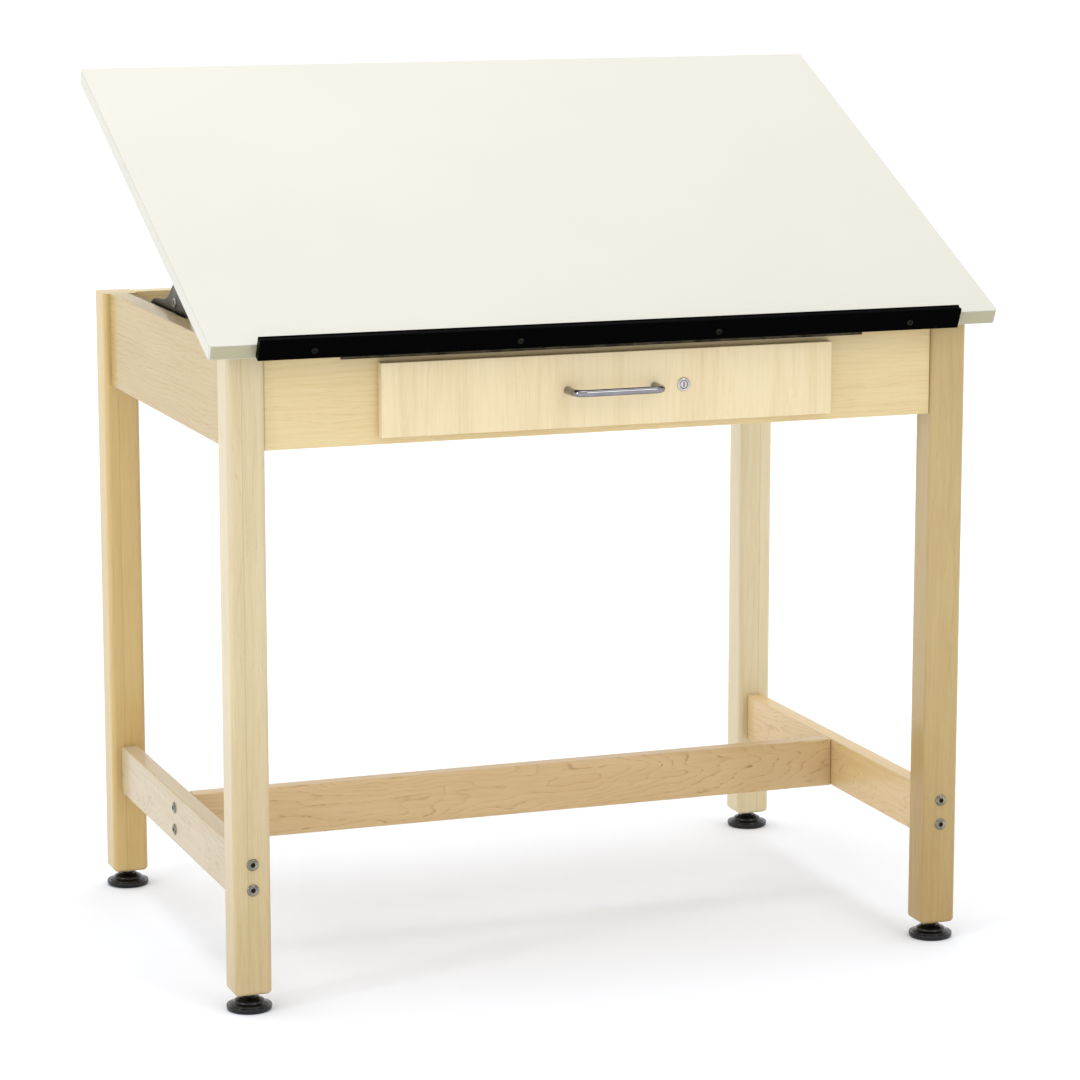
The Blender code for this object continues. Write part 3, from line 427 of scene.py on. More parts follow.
def circle(shape, radius, height, sides):
    """A ring of vertices about Z."""
    angles = [2 * math.pi * i / sides for i in range(sides)]
    return [shape.verts.new((radius * math.cos(a), radius * math.sin(a), height)) for a in angles]


def skin(shape, rings, sides):
    """Faces from each ring of vertices to the next; a ring may be a single vertex."""
    for near, far in zip(rings, rings[1:]):
        for i in range(sides):
            j = (i + 1) % sides
            corners = [near[i % len(near)], near[j % len(near)], far[j % len(far)], far[i % len(far)]]
            corners = [v for k, v in enumerate(corners) if v not in corners[:k]]
            if len(corners) > 2:
                shape.faces.new(corners)


def lathe(profile, sides=48):
    """A profile of (radius, height) turned about Z; points on the axis close it."""
    shape = bmesh.new()
    rings = [circle(shape, radius, height, sides) if radius > TINY else [shape.verts.new((0, 0, height))]
             for radius, height in profile]
    skin(shape, rings, sides)
    return shape


def arc(centre, radius, start, end, steps):
    """Points on an arc, by angles in degrees."""
    angles = [math.radians(start + (end - start) * i / steps) for i in range(steps + 1)]
    return [(centre[0] + radius * math.cos(a), centre[1] + radius * math.sin(a)) for a in angles]


def hexagon(radius):
    return arc((0, 0), radius, 0, 300, 5)


def facing(at, axis):
    """A matrix that puts +Z along axis at a point."""
    turn = Vector((0, 0, 1)).rotation_difference(Vector(axis)).to_matrix().to_4x4()
    return Matrix.Translation(Vector(at)) @ turn


def rod(start, end, radius, sides=24):
    """A closed cylinder between two points."""
    start, end = Vector(start), Vector(end)
    shape = bmesh.new()
    bmesh.ops.create_cone(
        shape, cap_ends=True, segments=sides, radius1=radius, radius2=radius, depth=(end - start).length,
        matrix=facing((start + end) / 2, end - start),
    )
    return shape


def boolean(shape, tools, operation="DIFFERENCE"):
    """The bmesh with others cut from it or joined to it, as a new bmesh."""
    target = bpy.data.objects.new("target", to_mesh(shape, "target"))
    helpers = [bpy.data.objects.new("tool", to_mesh(tool, "tool")) for tool in tools]
    for made in (target, *helpers):
        bpy.context.scene.collection.objects.link(made)
    for helper in helpers:
        step = target.modifiers.new("step", "BOOLEAN")
        step.operation = operation
        step.solver = "EXACT"
        step.object = helper
    bpy.context.view_layer.update()
    done = target.evaluated_get(bpy.context.evaluated_depsgraph_get()).to_mesh()
    result = bmesh.new()
    result.from_mesh(done)
    for made in (target, *helpers):
        bpy.data.objects.remove(made)
    return result


# ---- fasteners

def screw_mesh(name, radius, rise, look, length=0.012):
    """A pan-head screw with a cross recess, head on +Z, shank below."""
    profile = [(0, rise)] + [(radius * math.sin(a), rise * (0.15 + 0.85 * math.cos(a)))
                             for a in (math.radians(d) for d in (15, 30, 45, 60, 75, 88))]
    profile += [(radius, 0), (radius * 0.48, 0), (radius * 0.48, -length), (0, -length - radius * 0.4)]
    wide, long, deep = radius * 0.13, radius * 0.62, rise * 0.25
    recess = [block((-w, -d, deep), (w, d, rise * 2), 0) for w, d in ((wide, long), (long, wide))]
    return smooth(to_mesh(boolean(lathe(profile, 32), recess), name), 35, (look,))


def bolt_mesh():
    """Connector bolt: a broad thin head with an eased rim and a hex socket, and its shank; the socket's faces are
    painted near-black as shade in the recess.
    """
    head, thick, shank = BOLT_HEAD / 2, BOLT_HEAD_THICK, BOLT_SHANK / 2
    profile = [(0, thick * 0.93), (head * 0.46, thick * 0.93), (head * 0.50, thick)]
    dome = ((0.62, 0.97), (0.74, 0.86), (0.84, 0.70), (0.92, 0.48), (0.97, 0.28), (1, 0.1))
    profile += [(head * r, thick * h) for r, h in dome]
    profile += [(head, 0), (shank, 0), (shank, -0.060), (shank * 0.7, -0.062), (0, -0.062)]
    socket, deep = 0.0029, 0.0002
    recess = prism(hexagon(socket), deep, thick * 2, "XY")
    mesh = smooth(to_mesh(boolean(lathe(profile, 56), [recess]), "connector_bolt"), 35, (BRONZE, RECESS_SHADE_BLACK_METAL))
    # Faces inside the hex socket take the near-black metal: painted shade in the recess.
    for face in mesh.polygons:
        inside = face.center.xy.length < socket and deep - 0.0001 < face.center.z < thick * 0.9
        face.material_index = int(inside)
    return mesh


BOLT = bolt_mesh()
DARK_SCREW = screw_mesh("dark_screw", 0.0036, 0.0019, RECESS_SHADE_BLACK_METAL)
SMALL_SCREW = screw_mesh("small_screw", 0.0026, 0.0010, STEEL, 0.010)
PALE_SCREW = screw_mesh("pale_screw", 0.0034, 0.0017, ZINC)


def fasten(name, mesh, at, axis, body, slot, turn=0.0, nodes=()):
    """A fastener with its head's seat at a point, facing along axis."""
    matrix = facing(at, axis) @ Matrix.Rotation(turn, 4, "Z")
    return piece(name, mesh, None, nodes, body, slot, matrix, weighted=False)


# ---- leg base

def make_legs():
    """Four legs, each glued up from two staves, with a steel insert for the levelling stem."""
    flange = mm([(4.6, 45.2), (6.1, 45.2), (6.1, 0.8), (10, 0.8), (10.4, 0.4), (10.4, 0), (10.1, -0.2),
                 (5.3, -0.2), (4.6, 0.5), (4.6, 45.2)])
    for number, (label, y_sign, _) in enumerate(CORNERS):
        node = f"leg_{label}"
        low, _, middle, size = box_of(node)
        shape = block(-size / 2, size / 2, 0)
        soften(shape, edges_along(shape, 2), LEG_ROUND, 8)
        for at, round_off, steps in ((-size.z / 2, FOOT_ROUND, 6), (size.z / 2, 0.0009, 2)):
            rim = [e for e in shape.edges if all(abs(v.co.z - at) < TINY for v in e.verts)]
            soften(shape, rim, round_off, steps)
        bmesh.ops.translate(shape, vec=middle, verts=shape.verts)
        foot = Vector((middle.x, middle.y, low.z))
        hole = rod(foot - Vector((0, 0, 0.01)), foot + Vector((0, 0, 0.050)), 0.0062, 32)
        shape = boolean(shape, [hole])
        across = middle.x + (0.0045 if number % 2 else -0.0052)
        # The last argument is painted shade toward the floor, stronger on the front legs.
        look = maple(
            f"maple_{node}", "Z", 11 + number, LEG_TONES[label], (middle.x - 0.055, middle.y + 0.04), 0.05,
            0.0075, 0.18, (0, across) if number != 1 else None, 0.60 if y_sign < 0 else 0.30,
        )
        piece(f"{node}_wood", shape, look, node)
        zinc_piece(f"foot_insert_{label}", lathe(flange), "frame", Matrix.Translation(foot))


def make_aprons():
    """Front, rear and side aprons; the front one is cut out for the drawer."""
    for number, name in enumerate(("front", "rear", "left", "right")):
        node = f"apron_{name}"
        low, high, middle, _ = box_of(node)
        shape = block(low, high, 0.0010)
        along = "X" if name in ("front", "rear") else "Y"
        if name == "front":
            side, top = box_of("drawer_side_left")[0], box_of("drawer_side_right")[1]
            reach = 0.0015
            cut_low = (side.x - reach, low.y - 0.01, side.z - reach)
            cut_high = (top.x + reach, high.y + 0.01, top.z + reach)
            shape = boolean(shape, [block(cut_low, cut_high, 0)])
        pith = ((middle.y - 0.05, middle.z - 0.09), (middle.x - 0.05, middle.z + 0.11))[along == "Y"]
        look = maple(f"maple_apron_{name}", along, 31 + number, APRON_TONES[name], pith, 0.07, 0.0048,
                     0.26 if along == "X" else 0.90)
        piece(f"{node}_wood", shape, look, node)


def make_stretchers():
    """The H-stretcher, flat sawn with clear cathedrals."""
    for number, name in enumerate(("left", "right", "centre")):
        node = f"stretcher_{name}"
        low, high, middle, _ = box_of(node)
        along = "X" if name == "centre" else "Y"
        pith = (middle.y + 0.035, middle.z + 0.004) if along == "X" else (middle.x + 0.035, middle.z - 0.006)
        look = maple(f"maple_{node}", along, 51 + number, STRETCHER_TONES[name], pith, 0.09, 0.0028, 0.75)
        piece(f"{node}_wood", block(low, high, 0.0016, 4), look, node)


def make_braces():
    """Mitred corner blocks with the leg's hanger bolt, washer and wing nut."""
    wing = mm([(4.4, 4), (7.2, 10.5), (11.6, 15), (15, 14.8), (15.8, 12), (13.2, 7.8), (9, 1), (4.4, 0.4)])
    disc = mm([(3.4, 0), (9, 0), (9.2, 0.3), (9.2, 1.1), (8.8, 1.4), (3.4, 1.4), (3.4, 0)])
    hub = mm([(3.3, 0), (5.8, 0), (6, 0.4), (5.4, 5.2), (4.6, 6.2), (3.3, 6.2), (3.3, 0)])
    for number, (label, y_sign, x_sign) in enumerate(CORNERS):
        node = f"corner_brace_{label}"
        low, high, middle, size = box_of(node)
        near, far = 0.050, size.x
        corner = (high.x if x_sign > 0 else low.x, high.y if y_sign > 0 else low.y)
        points = [(near, 0), (far, 0), (0, far), (0, near)]
        points = [(corner[0] - x_sign * a, corner[1] - y_sign * b) for a, b in points]
        shape = prism(points, low.z, high.z, "XY", 0.0008, 2)
        pith = (middle.x + 0.05, middle.z - 0.05)
        look = maple(f"maple_brace_{number}", "Y", 71 + number, BLOCK_TONE, pith, 0.3)
        inward = Vector((-x_sign, -y_sign, 0)).normalized()
        centre = Vector((corner[0], corner[1], middle.z)) + inward * (near + far) / 2 / math.sqrt(2)
        face = centre + inward * (far - near) / 2 / math.sqrt(2)
        hole = rod(centre - inward * 0.03, centre + inward * 0.03, 0.0036, 24)
        piece(f"{node}_wood", boolean(shape, [hole]), look, node)
        stud = rod(centre - inward * 0.034, face + inward * 0.016, 0.0031, 24)
        ends = [e for e in stud.edges if any(len(f.verts) > 4 for f in e.link_faces)]
        bmesh.ops.bevel(stud, geom=ends, offset=0.0006, segments=2, affect="EDGES")
        zinc_piece(f"hanger_bolt_{label}", stud, "frame")
        zinc_piece(f"washer_{label}", lathe(disc), "frame", facing(face + inward * GAP, inward))
        ears = [prism([(s * a, b) for a, b in wing], -0.0009, 0.0009, "XZ", 0.0004, 2) for s in (-1, 1)]
        seat = facing(face + inward * (0.0014 + 2 * GAP), inward) @ Matrix.Rotation(0.5 + number, 4, "Z")
        zinc_piece(f"wing_nut_{label}", boolean(lathe(hub, 32), ears, "UNION"), "frame", seat, 30)


def make_bolts():
    """The connector bolts, heads on the legs' and stretchers' outer faces."""
    turn = 0.0
    for node in frame["nodes"]:
        if "_bolt_" not in node:
            continue
        low, high, middle, _ = box_of(node)
        axis = 1 if node.startswith("leg") else 0
        outward = 1 if middle[axis] > (0.0 if axis == 0 else box_of("stretcher_centre")[2].y) else -1
        seat = middle.copy()
        seat[axis] = (high if outward > 0 else low)[axis] - outward * BOLT_HEAD_THICK
        direction = Vector((0, 0, 0))
        direction[axis] = outward
        turn += 0.47
        fasten(f"{node}_steel", BOLT, seat, direction, None, None, turn, node)


def threaded_stem():
    """A bmesh stem with a real helical thread, its foot at 8.5 mm."""
    sides, steps, start, long = 28, 4, 0.0162, 0.036
    count = int(long / THREAD_PITCH * steps)
    stem = bmesh.new()
    rings = [[stem.verts.new((0, 0, 0.0085))]]
    for radius, height in ((0.0034, 0.0085), (STEM_RADIUS, 0.0090), (STEM_RADIUS, 0.0158)):
        rings.append(circle(stem, radius, height, sides))
    for k in range(count + 1):
        height = start + k * THREAD_PITCH / steps
        ring = []
        for i in range(sides):
            angle = 2 * math.pi * i / sides
            wave = (k / steps - i / sides) % 1.0
            radius = STEM_RADIUS - THREAD_DEEP * (1 - abs(2 * wave - 1)) * min(1.0, k / 4)
            ring.append(stem.verts.new((radius * math.cos(angle), radius * math.sin(angle), height)))
        rings.append(ring)
    rings.append(circle(stem, 0.003, start + count * THREAD_PITCH / steps + 0.0008, sides))
    skin(stem, rings, sides)
    stem.faces.new(rings[-1])
    return stem


def make_levellers():
    """Swivel feet: turned pad with a stepped skirt, threaded stem and the hexagon that turns it."""
    skirt = mm([(0, 8.2), (4.6, 8.2), (4.6, 13.6), (5.2, 14.3), (9.2, 14.5), (10.4, 14.3), (11.4, 13.6),
                (12, 13), (15.8, 11.3), (16.4, 10.7), (16.6, 9.4), (17.2, 8.8), (20.8, 7.5), (21.4, 7),
                (21.7, 6.2), (22.6, 6)])
    skirt += arc((0.0237, 0.0049), 0.0013, 80, 0, 5)
    skirt += mm([(25, 2.8), (24.6, 1.2), (23.6, 0.3), (22.5, 0), (0, 0)])
    for label, _, _ in CORNERS:
        low, _, middle, _ = box_of(f"glide_pad_{label}")
        at = Matrix.Translation((middle.x, middle.y, low.z))
        node = f"glide_pad_{label}"
        piece(f"{node}_moulded", lathe(skirt, 64), RUBBER, node, turn=at)
        node = f"glide_stem_{label}"
        piece(f"{node}_threaded", threaded_stem(), ZINC, node, angle=30, turn=at)
        nut = prism(hexagon(0.0072), 0.01455, 0.0154, "XY", 0.0002, 2)
        nut = boolean(nut, [rod((0, 0, 0), (0, 0, 0.03), STEM_RADIUS + 0.0001, 32)])
        piece(f"foot_hexagon_{label}", nut, STEEL, (), f"leveller_{label}", BLACK, turn=at)


# ---- top

def top_sizes():
    """(half width, front, rear, underside, surface) of the board on the top's own axes."""
    _, high, _, size = box_of("top_board")
    c, s = math.cos(TILT), math.sin(TILT)
    deep = (size.y * c - size.z * s) / (c * c - s * s)
    thick = (size.z * c - size.y * s) / (c * c - s * s)
    centre = TOP_AXES.inverted() @ Vector(SURFACE["pos_m"])
    return high.x, centre.y - deep / 2, centre.y + deep / 2, centre.z - thick, centre.z


HALF, FRONT, REAR, UNDER, OVER = top_sizes()


def make_board():
    """The top: a face sheet and a backer over a core, closed by an edge band that runs round the corners; the
    band's front faces take a darker copy of its laminate, as painted shade.
    """
    def slab(inset, low, high, rounding, edge, steps):
        x, front, rear = HALF - inset - rounding, FRONT + inset + rounding, REAR - inset - rounding
        points = []
        for cx, cy, start in ((x, rear, 0), (-x, rear, 90), (-x, front, 180), (x, front, 270)):
            points += arc((cx, cy), rounding, start, start + 90, 8)
        return prism(points, low, high, "XY", edge, steps)

    sheet = 0.0011
    parts = (
        ("top_board_face", (0, OVER - sheet, OVER), ALMOND, "top_board", 0.00045),
        ("top_board_backer", (0.0002, UNDER, UNDER + 0.0008), BACKER, (), 0.0002),
        ("top_board_band", (0.00005, UNDER + 0.0008, OVER - sheet), ALMOND_EDGE, (), 0.0),
    )
    for name, (inset, low, high), look, nodes, edge in parts:
        shape = slab(inset, low, high, 0.004, edge, 3)
        # Band faces that look forward take the darker copy: painted shade on the front edge.
        for face in shape.faces:
            face.normal_update()
            face.material_index = int(look is ALMOND_EDGE and face.normal.y < -0.8)
        looks = (look, ALMOND_FRONT_SHADE) if look is ALMOND_EDGE else look
        piece(name, shape, looks, nodes, "top", "almond_laminate", turn=TOP_AXES)


def make_trough():
    """The black extruded pencil trough, with a shallow groove on its crest, and its four screws."""
    low, high, _, _ = box_of("pencil_trough")
    back, face = FRONT - GAP, FRONT - GAP - TROUGH_DEEP
    crest, foot = OVER + TROUGH_RISE, OVER + TROUGH_RISE - TROUGH_HIGH
    half, groove_deep = 0.0030, 0.0011
    groove = back - 0.0010 - half
    profile = [(back, foot + 0.0004), (back, crest - 0.0006)]
    profile += arc((back - 0.0006, crest - 0.0006), 0.0006, 30, 90, 3)
    for a in (math.pi * i / 12 for i in range(13)):
        profile.append((groove + half * math.cos(a), crest - groove_deep * math.sin(a) ** 1.5))
    profile += arc((face + 0.0026, crest - 0.0026), 0.0026, 90, 180, 12)
    profile += [(face + 0.00025, crest - 0.0046), (face + 0.00025, foot + 0.0028)]
    profile += arc((face + 0.0014, foot + 0.0014), 0.0014, 180, 270, 6)
    shape = prism(profile, low.x, high.x, "YZ", 0.0004, 2)
    piece("pencil_trough_extruded", shape, PVC, "pencil_trough", angle=30, turn=TOP_AXES)
    out = TOP_AXES.to_3x3() @ Vector((0, -1, 0))
    for number in range(1, 5):
        node = f"trough_screw_{number}"
        spot = TOP_AXES @ Vector((box_of(node)[2].x, face + 0.0001, crest - 0.58 * TROUGH_HIGH))
        fasten(f"{node}_head", DARK_SCREW, spot, out, None, None, 0.4 + number, node)


# ---- hinge

def make_hinge():
    """A continuous hinge with inch knuckles, its pin, and small screws in each leaf."""
    half = box_of("hinge_pin")[3].x / 2
    count = round(2 * half / HINGE_PITCH)
    near, far, start = KNUCKLE_OUT - LEAF_THICK, KNUCKLE_OUT, KNUCKLE_OUT + 0.0005
    long, ease = HINGE_PITCH - 2 * GAP, 0.0002
    ring = [(KNUCKLE_IN, 0), (KNUCKLE_OUT - ease, 0), (KNUCKLE_OUT, ease), (KNUCKLE_OUT, long - ease),
            (KNUCKLE_OUT - ease, long), (KNUCKLE_IN, long), (KNUCKLE_IN, 0)]
    upright = Matrix.Translation(HINGE)
    leaves = (
        ("hinge_leaf_frame", upright, 0, lambda out, down: (out, -down), Vector((0, -1, 0))),
        ("hinge_leaf_top", TOP_AXES, 1, lambda out, down: (-down, out),
         TOP_AXES.to_3x3() @ Vector((0, 0, -1))),
    )
    for node, axes, odd, where, out in leaves:
        shape = bmesh.new()
        plate = [where(near, start), where(far, start), where(far, LEAF_REACH), where(near, LEAF_REACH)]
        link = [where(near + 0.0001, -0.0001), where(far - 0.00005, -0.0001),
                where(far - 0.00005, start + 0.0004), where(near + 0.0001, start + 0.0004)]
        starts = [-half + HINGE_PITCH * index + GAP for index in range(odd, count, 2)]
        parts = [prism(plate, -half, half, "YZ", 0.0003)]
        parts += [prism(link, x, x + long, "YZ", 0) for x in starts]
        for part in parts:
            shape.from_mesh(to_mesh(part, "part"))
        for x in starts:
            shape.from_mesh(to_mesh(lathe(ring, 24), "part", facing((x, 0, 0), (1, 0, 0))))
        piece(f"{node}_steel", shape, STEEL, node, angle=30, weighted=False, turn=axes)
        for index in range(12):
            x = -half + 2 * HINGE_PITCH * (index + 0.5)
            seat = axes @ Vector((x, *where(near, LEAF_REACH - 0.0047)))
            fasten(f"{node}_screw_{index}", SMALL_SCREW, seat, out, body_of(node), BLACK, index * 0.7)
    pin = rod((-half, 0, 0), (half, 0, 0), HINGE_PIN, 24)
    piece("hinge_pin_steel", pin, STEEL, "hinge_pin", turn=upright)


# ---- ratchet supports

STRUT_LONG = math.hypot(BRACKET_ALONG, BRACKET_DROP)
BRACKET_ANGLE = math.atan2(BRACKET_DROP, BRACKET_ALONG)


def track_point(tilt):
    """Where a strut's lower pin sits when the top is tilted."""
    reach = 2 * STRUT_LONG * math.cos(tilt - BRACKET_ANGLE + TRACK_SLOPE)
    return HINGE + reach * Vector((0, math.cos(TRACK_SLOPE), -math.sin(TRACK_SLOPE)))


def lobe(u, height, stations):
    """Height of one side of the strut: it rises between two stations, stays, and falls between two more."""
    start, full, leave, end = stations
    share = (u - start) / (full - start) if u < full else (end - u) / (end - leave)
    return STRUT_ARM + (height - STRUT_ARM) * (1 - math.cos(math.pi * min(max(share, 0.0), 1.0))) / 2


def strut_outline():
    """Side view of the strut, with the lower pin at the origin and the upper pivot at +STRUT_LONG."""
    start, end = 0.014, STRUT_LONG - 0.012
    us = [start + (end - start) * i / 60 for i in range(61)]
    (upper, upper_at), (lower, lower_at) = STRUT_LOBES
    points = arc((0, 0), STRUT_HEEL, 290, 125, 16)
    points += [(u, lobe(u, upper, upper_at)) for u in us]
    points += arc((STRUT_LONG, 0), STRUT_EYE, 115, -115, 28)
    return points + [(u, -lobe(u, lower, lower_at)) for u in reversed(us)]


def make_supports():
    """On each side: the notched track plate, the strut with its rivet, and the bracket under the top."""
    clear = STRUT_PIN + GAP
    for side, x_sign in SIDES:
        low, high, middle, _ = box_of(f"track_plate_{side}")
        inner = abs(low.x if x_sign < 0 else high.x)

        def xs(near, far, x_sign=x_sign, inner=inner):
            """Two X values, measured inward from the track plate's outer face."""
            return sorted((x_sign * (inner - near), x_sign * (inner - far)))

        corners = ((high.y, high.z, 0), (low.y, high.z, 90), (low.y, low.z, 180), (high.y, low.z, 270))
        edge, corner = [], 0.006
        for y, z, start in corners:
            cy, cz = y - math.copysign(corner, y - middle.y), z - math.copysign(corner, z - middle.z)
            edge += arc((cy, cz), corner, start, start + 90, 6)
        plate = prism(edge, low.x, high.x, "YZ", 0.0004, 2)
        flat, steep = track_point(0), track_point(TILT_MOST)
        slope = math.degrees(math.atan2(flat.z - steep.z, flat.y - steep.y))
        slot = arc((steep.y, steep.z), clear, 90 + slope, 270 + slope, 14)
        slot += arc((flat.y, flat.z), clear, 270 + slope, 450 + slope, 14)
        tools = [prism(slot, low.x - 0.01, high.x + 0.01, "YZ")]
        for angle in (5, 15, 25, 35, 45):
            spot = track_point(math.radians(angle)) + Vector((0, 0, -0.0028))
            ends = [(x, spot.y, spot.z) for x in (low.x - 0.01, high.x + 0.01)]
            tools.append(rod(*ends, clear - 0.0002, 28))
        node = f"track_plate_{side}"
        piece(f"{node}_steel", boolean(plate, tools), STEEL, node)
        inward = Vector((-x_sign, 0, 0))
        face = x_sign * (inner - TRACK_THICK)
        spots = ((low.y + 0.012, high.z - 0.010), (high.y - 0.012, high.z - 0.010),
                 (low.y + 0.014, low.z + 0.011), (high.y - 0.070, low.z + 0.008))
        for number, (y, z) in enumerate(spots):
            fasten(f"track_screw_{side}_{number}", SMALL_SCREW, (face - x_sign * 0.0001, y, z), inward,
                   "frame", BLACK, number)

        pivot = Vector(JOINTS[f"strut_{side}_turn"]["pos_m"])
        pin = track_point(TILT)
        lean = math.atan2(pivot.z - pin.z, pivot.y - pin.y)
        c, s = math.cos(lean), math.sin(lean)
        points = [(pin.y + u * c + v * s, pin.z + u * s - v * c) for u, v in strut_outline()]
        x0, x1 = xs(0.006, 0.006 + STRUT_THICK)
        strut = prism(points, x0, x1, "YZ", 0.0004, 2)
        strut = boolean(strut, [rod((x0 - 0.01, pivot.y, pivot.z), (x1 + 0.01, pivot.y, pivot.z), clear, 32)])
        body = f"strut_{side}"
        piece(f"strut_{side}_plate", strut, STEEL, f"strut_{side}", angle=30)
        foot = Vector((x_sign * inner, pin.y, pin.z))
        post = [(0, 0.0112), (0.0060, 0.0112), (0.0070, 0.0108), (0.0072, 0.0100), (0.0072, 0.0092),
                (STRUT_PIN, 0.0092), (STRUT_PIN, 0.0012), (0.0036, 0.0009), (0, 0.0009)]
        zinc_piece(f"strut_pin_{side}", lathe(post, 40), body, facing(foot, inward))
        spot = foot + RIVET_AT[0] * Vector((0, c, s)) + RIVET_AT[1] * Vector((0, s, -c))
        rivet = mm([(3.1, 11.8), (4.2, 12.1), (5.6, 11.3), (6, 10.2), (6, 9.1), (6, 6), (5.6, 4.9),
                    (4.2, 4.3), (3.1, 4.6), (3.1, 11.8)])
        zinc_piece(f"strut_rivet_{side}", lathe(rivet, 40), body, facing(spot, inward))

        lift = UNDER - GAP
        ear = [(BRACKET_ALONG + 0.023, lift), (BRACKET_ALONG - 0.023, lift)]
        ear += arc((BRACKET_ALONG, -BRACKET_DROP), STRUT_EYE, 200, 340, 20)
        ear = prism(ear, *xs(0.0096, 0.0121), "YZ")
        f0, f1 = xs(0.0098, 0.0396)
        rear, front = BRACKET_ALONG + 0.032, BRACKET_ALONG - 0.032
        flange = block((f0, front, lift - 0.0025), (f1, rear, lift), 0.0006, 2)
        shape = boolean(ear, [flange], "UNION")
        node = f"top_bracket_{side}"
        piece(f"{node}_steel", shape, STEEL, node, angle=30, turn=TOP_AXES)
        out = TOP_AXES @ facing((x_sign * inner, BRACKET_ALONG, -BRACKET_DROP), inward)
        post = [(0, 0.0136), (0.0034, 0.0134), (0.0052, 0.0127), (0.0056, 0.0121), (STRUT_PIN, 0.0121),
                (STRUT_PIN, 0.0056), (0.0068, 0.0056), (0.0068, 0.0044), (0.0060, 0.0034), (0, 0.0032)]
        zinc_piece(f"bracket_rivet_{side}", lathe(post, 40), "top", out)
        down = TOP_AXES.to_3x3() @ Vector((0, 0, -1))
        for number, along in enumerate((-0.022, 0.0, 0.022)):
            seat = TOP_AXES @ Vector((x_sign * (inner - 0.028), BRACKET_ALONG + along, lift - 0.0026))
            fasten(f"bracket_screw_{side}_{number}", DARK_SCREW, seat, down, "top", BLACK, number * 1.1)


# ---- drawer

def make_drawer():
    """Overlay front with upright grain, plywood box and the runners that it slides in."""
    low, high, middle, _ = box_of("drawer_front")
    lock = box_of("lock_body")[2]
    hole = rod((lock.x, low.y - 0.01, lock.z), (lock.x, high.y + 0.01, lock.z), 0.0062, 40)
    shape = boolean(block(low, high, 0.0007, 3), [hole])
    pith = (middle.x - 0.9, middle.y + 0.5)
    look = maple("maple_drawer_front", "Z", 91, FRONT_TONE, pith, 0.10, 0.017, 0.07)
    piece("drawer_front_wood", shape, look, "drawer_front")
    low, high, _, _ = box_of("drawer_floor")
    floor = (low.z, high.z)
    ply_side, ply_back = plywood("birch_side", 3, 0), plywood("birch_back", 5, 1)
    ply_floor = plywood("birch_floor", 8, 2)
    piece("drawer_floor_ply", block(low, high, 0.0002, 1), ply_floor, "drawer_floor")
    low, high, _, _ = box_of("drawer_back")
    piece("drawer_back_ply", block(low, high, 0.0008, 2), ply_back, "drawer_back")
    inside = high.x + GAP
    for side, x_sign in SIDES:
        low, high, _, _ = box_of(f"drawer_side_{side}")
        outer = max(abs(low.x), abs(high.x))
        groove = inside + 0.0055
        slot_low, slot_high = floor[0] - GAP, floor[1] + GAP
        section = [(outer, low.z), (outer, high.z), (inside, high.z), (inside, slot_high),
                   (groove, slot_high), (groove, slot_low), (inside, slot_low), (inside, low.z)]
        shape = prism([(x_sign * a, b) for a, b in section], low.y, high.y, "XZ")
        round_off = [e for e in edges_along(shape, 1) if min(v.co.z for v in e.verts) > high.z - 1e-5]
        soften(shape, round_off, 0.0015, 3)
        piece(f"drawer_side_{side}_ply", shape, ply_side, f"drawer_side_{side}")
        for number, z in enumerate((low.z + 0.012, high.z - 0.012)):
            seat = (x_sign * (outer - 0.0003), high.y - 0.006, z)
            fasten(f"drawer_screw_{side}_{number}", SMALL_SCREW, seat, (x_sign, 0, 0), "drawer",
                   PLATED, number)
        run_low, run_high, _, _ = box_of(f"drawer_runner_{side}")
        wall, ledge = outer + 0.0010, outer - 0.0105
        back = max(abs(run_low.x), abs(run_high.x))
        lower, upper = low.z - 0.0007, high.z + 0.0007
        channel = [(back, run_low.z), (back, run_high.z), (ledge, run_high.z), (ledge, upper),
                   (wall, upper), (wall, lower), (ledge, lower), (ledge, run_low.z)]
        shape = prism([(x_sign * a, b) for a, b in channel], run_low.y, run_high.y, "XZ", 0.0005, 2)
        look = maple(f"maple_runner_{side}", "Y", 95 + x_sign, BLOCK_TONE, (x_sign * 0.3, 0.6))
        piece(f"drawer_runner_{side}_wood", shape, look, f"drawer_runner_{side}")


def make_pull():
    """Bent wire pull, and the two screws behind the drawer front that hold it."""
    low, _, middle, size = box_of("drawer_pull")
    front_low, front_high, _, _ = box_of("drawer_front")
    radius = 0.004
    half, bend = size.x / 2 - radius, 0.011
    reach = front_low.y - low.y - radius
    route = [(-half, GAP)] + arc((-half + bend, reach - bend), bend, 180, 90, 14)
    route += arc((half - bend, reach - bend), bend, 90, 0, 14) + [(half, GAP)]
    sides = 32
    shape = bmesh.new()
    rings = []
    for i, (x, out) in enumerate(route):
        before, after = route[max(i - 1, 0)], route[min(i + 1, len(route) - 1)]
        ahead = Vector((after[0] - before[0], after[1] - before[1])).normalized()
        across = Vector((-ahead.y, ahead.x))
        swell = radius + (0.0004 if i in (0, len(route) - 1) else 0.0)
        ring = []
        for k in range(sides):
            a = 2 * math.pi * k / sides
            side_way = across * (swell * math.cos(a))
            spot = (middle.x + x + side_way.x, front_low.y - out - side_way.y, middle.z + swell * math.sin(a))
            ring.append(shape.verts.new(spot))
        rings.append(ring)
    skin(shape, rings, sides)
    shape.faces.new(rings[0])
    shape.faces.new(rings[-1])
    piece("drawer_pull_wire", shape, NICKEL, "drawer_pull")
    for number, sign in enumerate((-1, 1)):
        seat = (middle.x + sign * half, front_high.y + 0.0001, middle.z)
        fasten(f"pull_screw_{number}", PALE_SCREW, seat, (0, 1, 0), "drawer", PLATED, number)


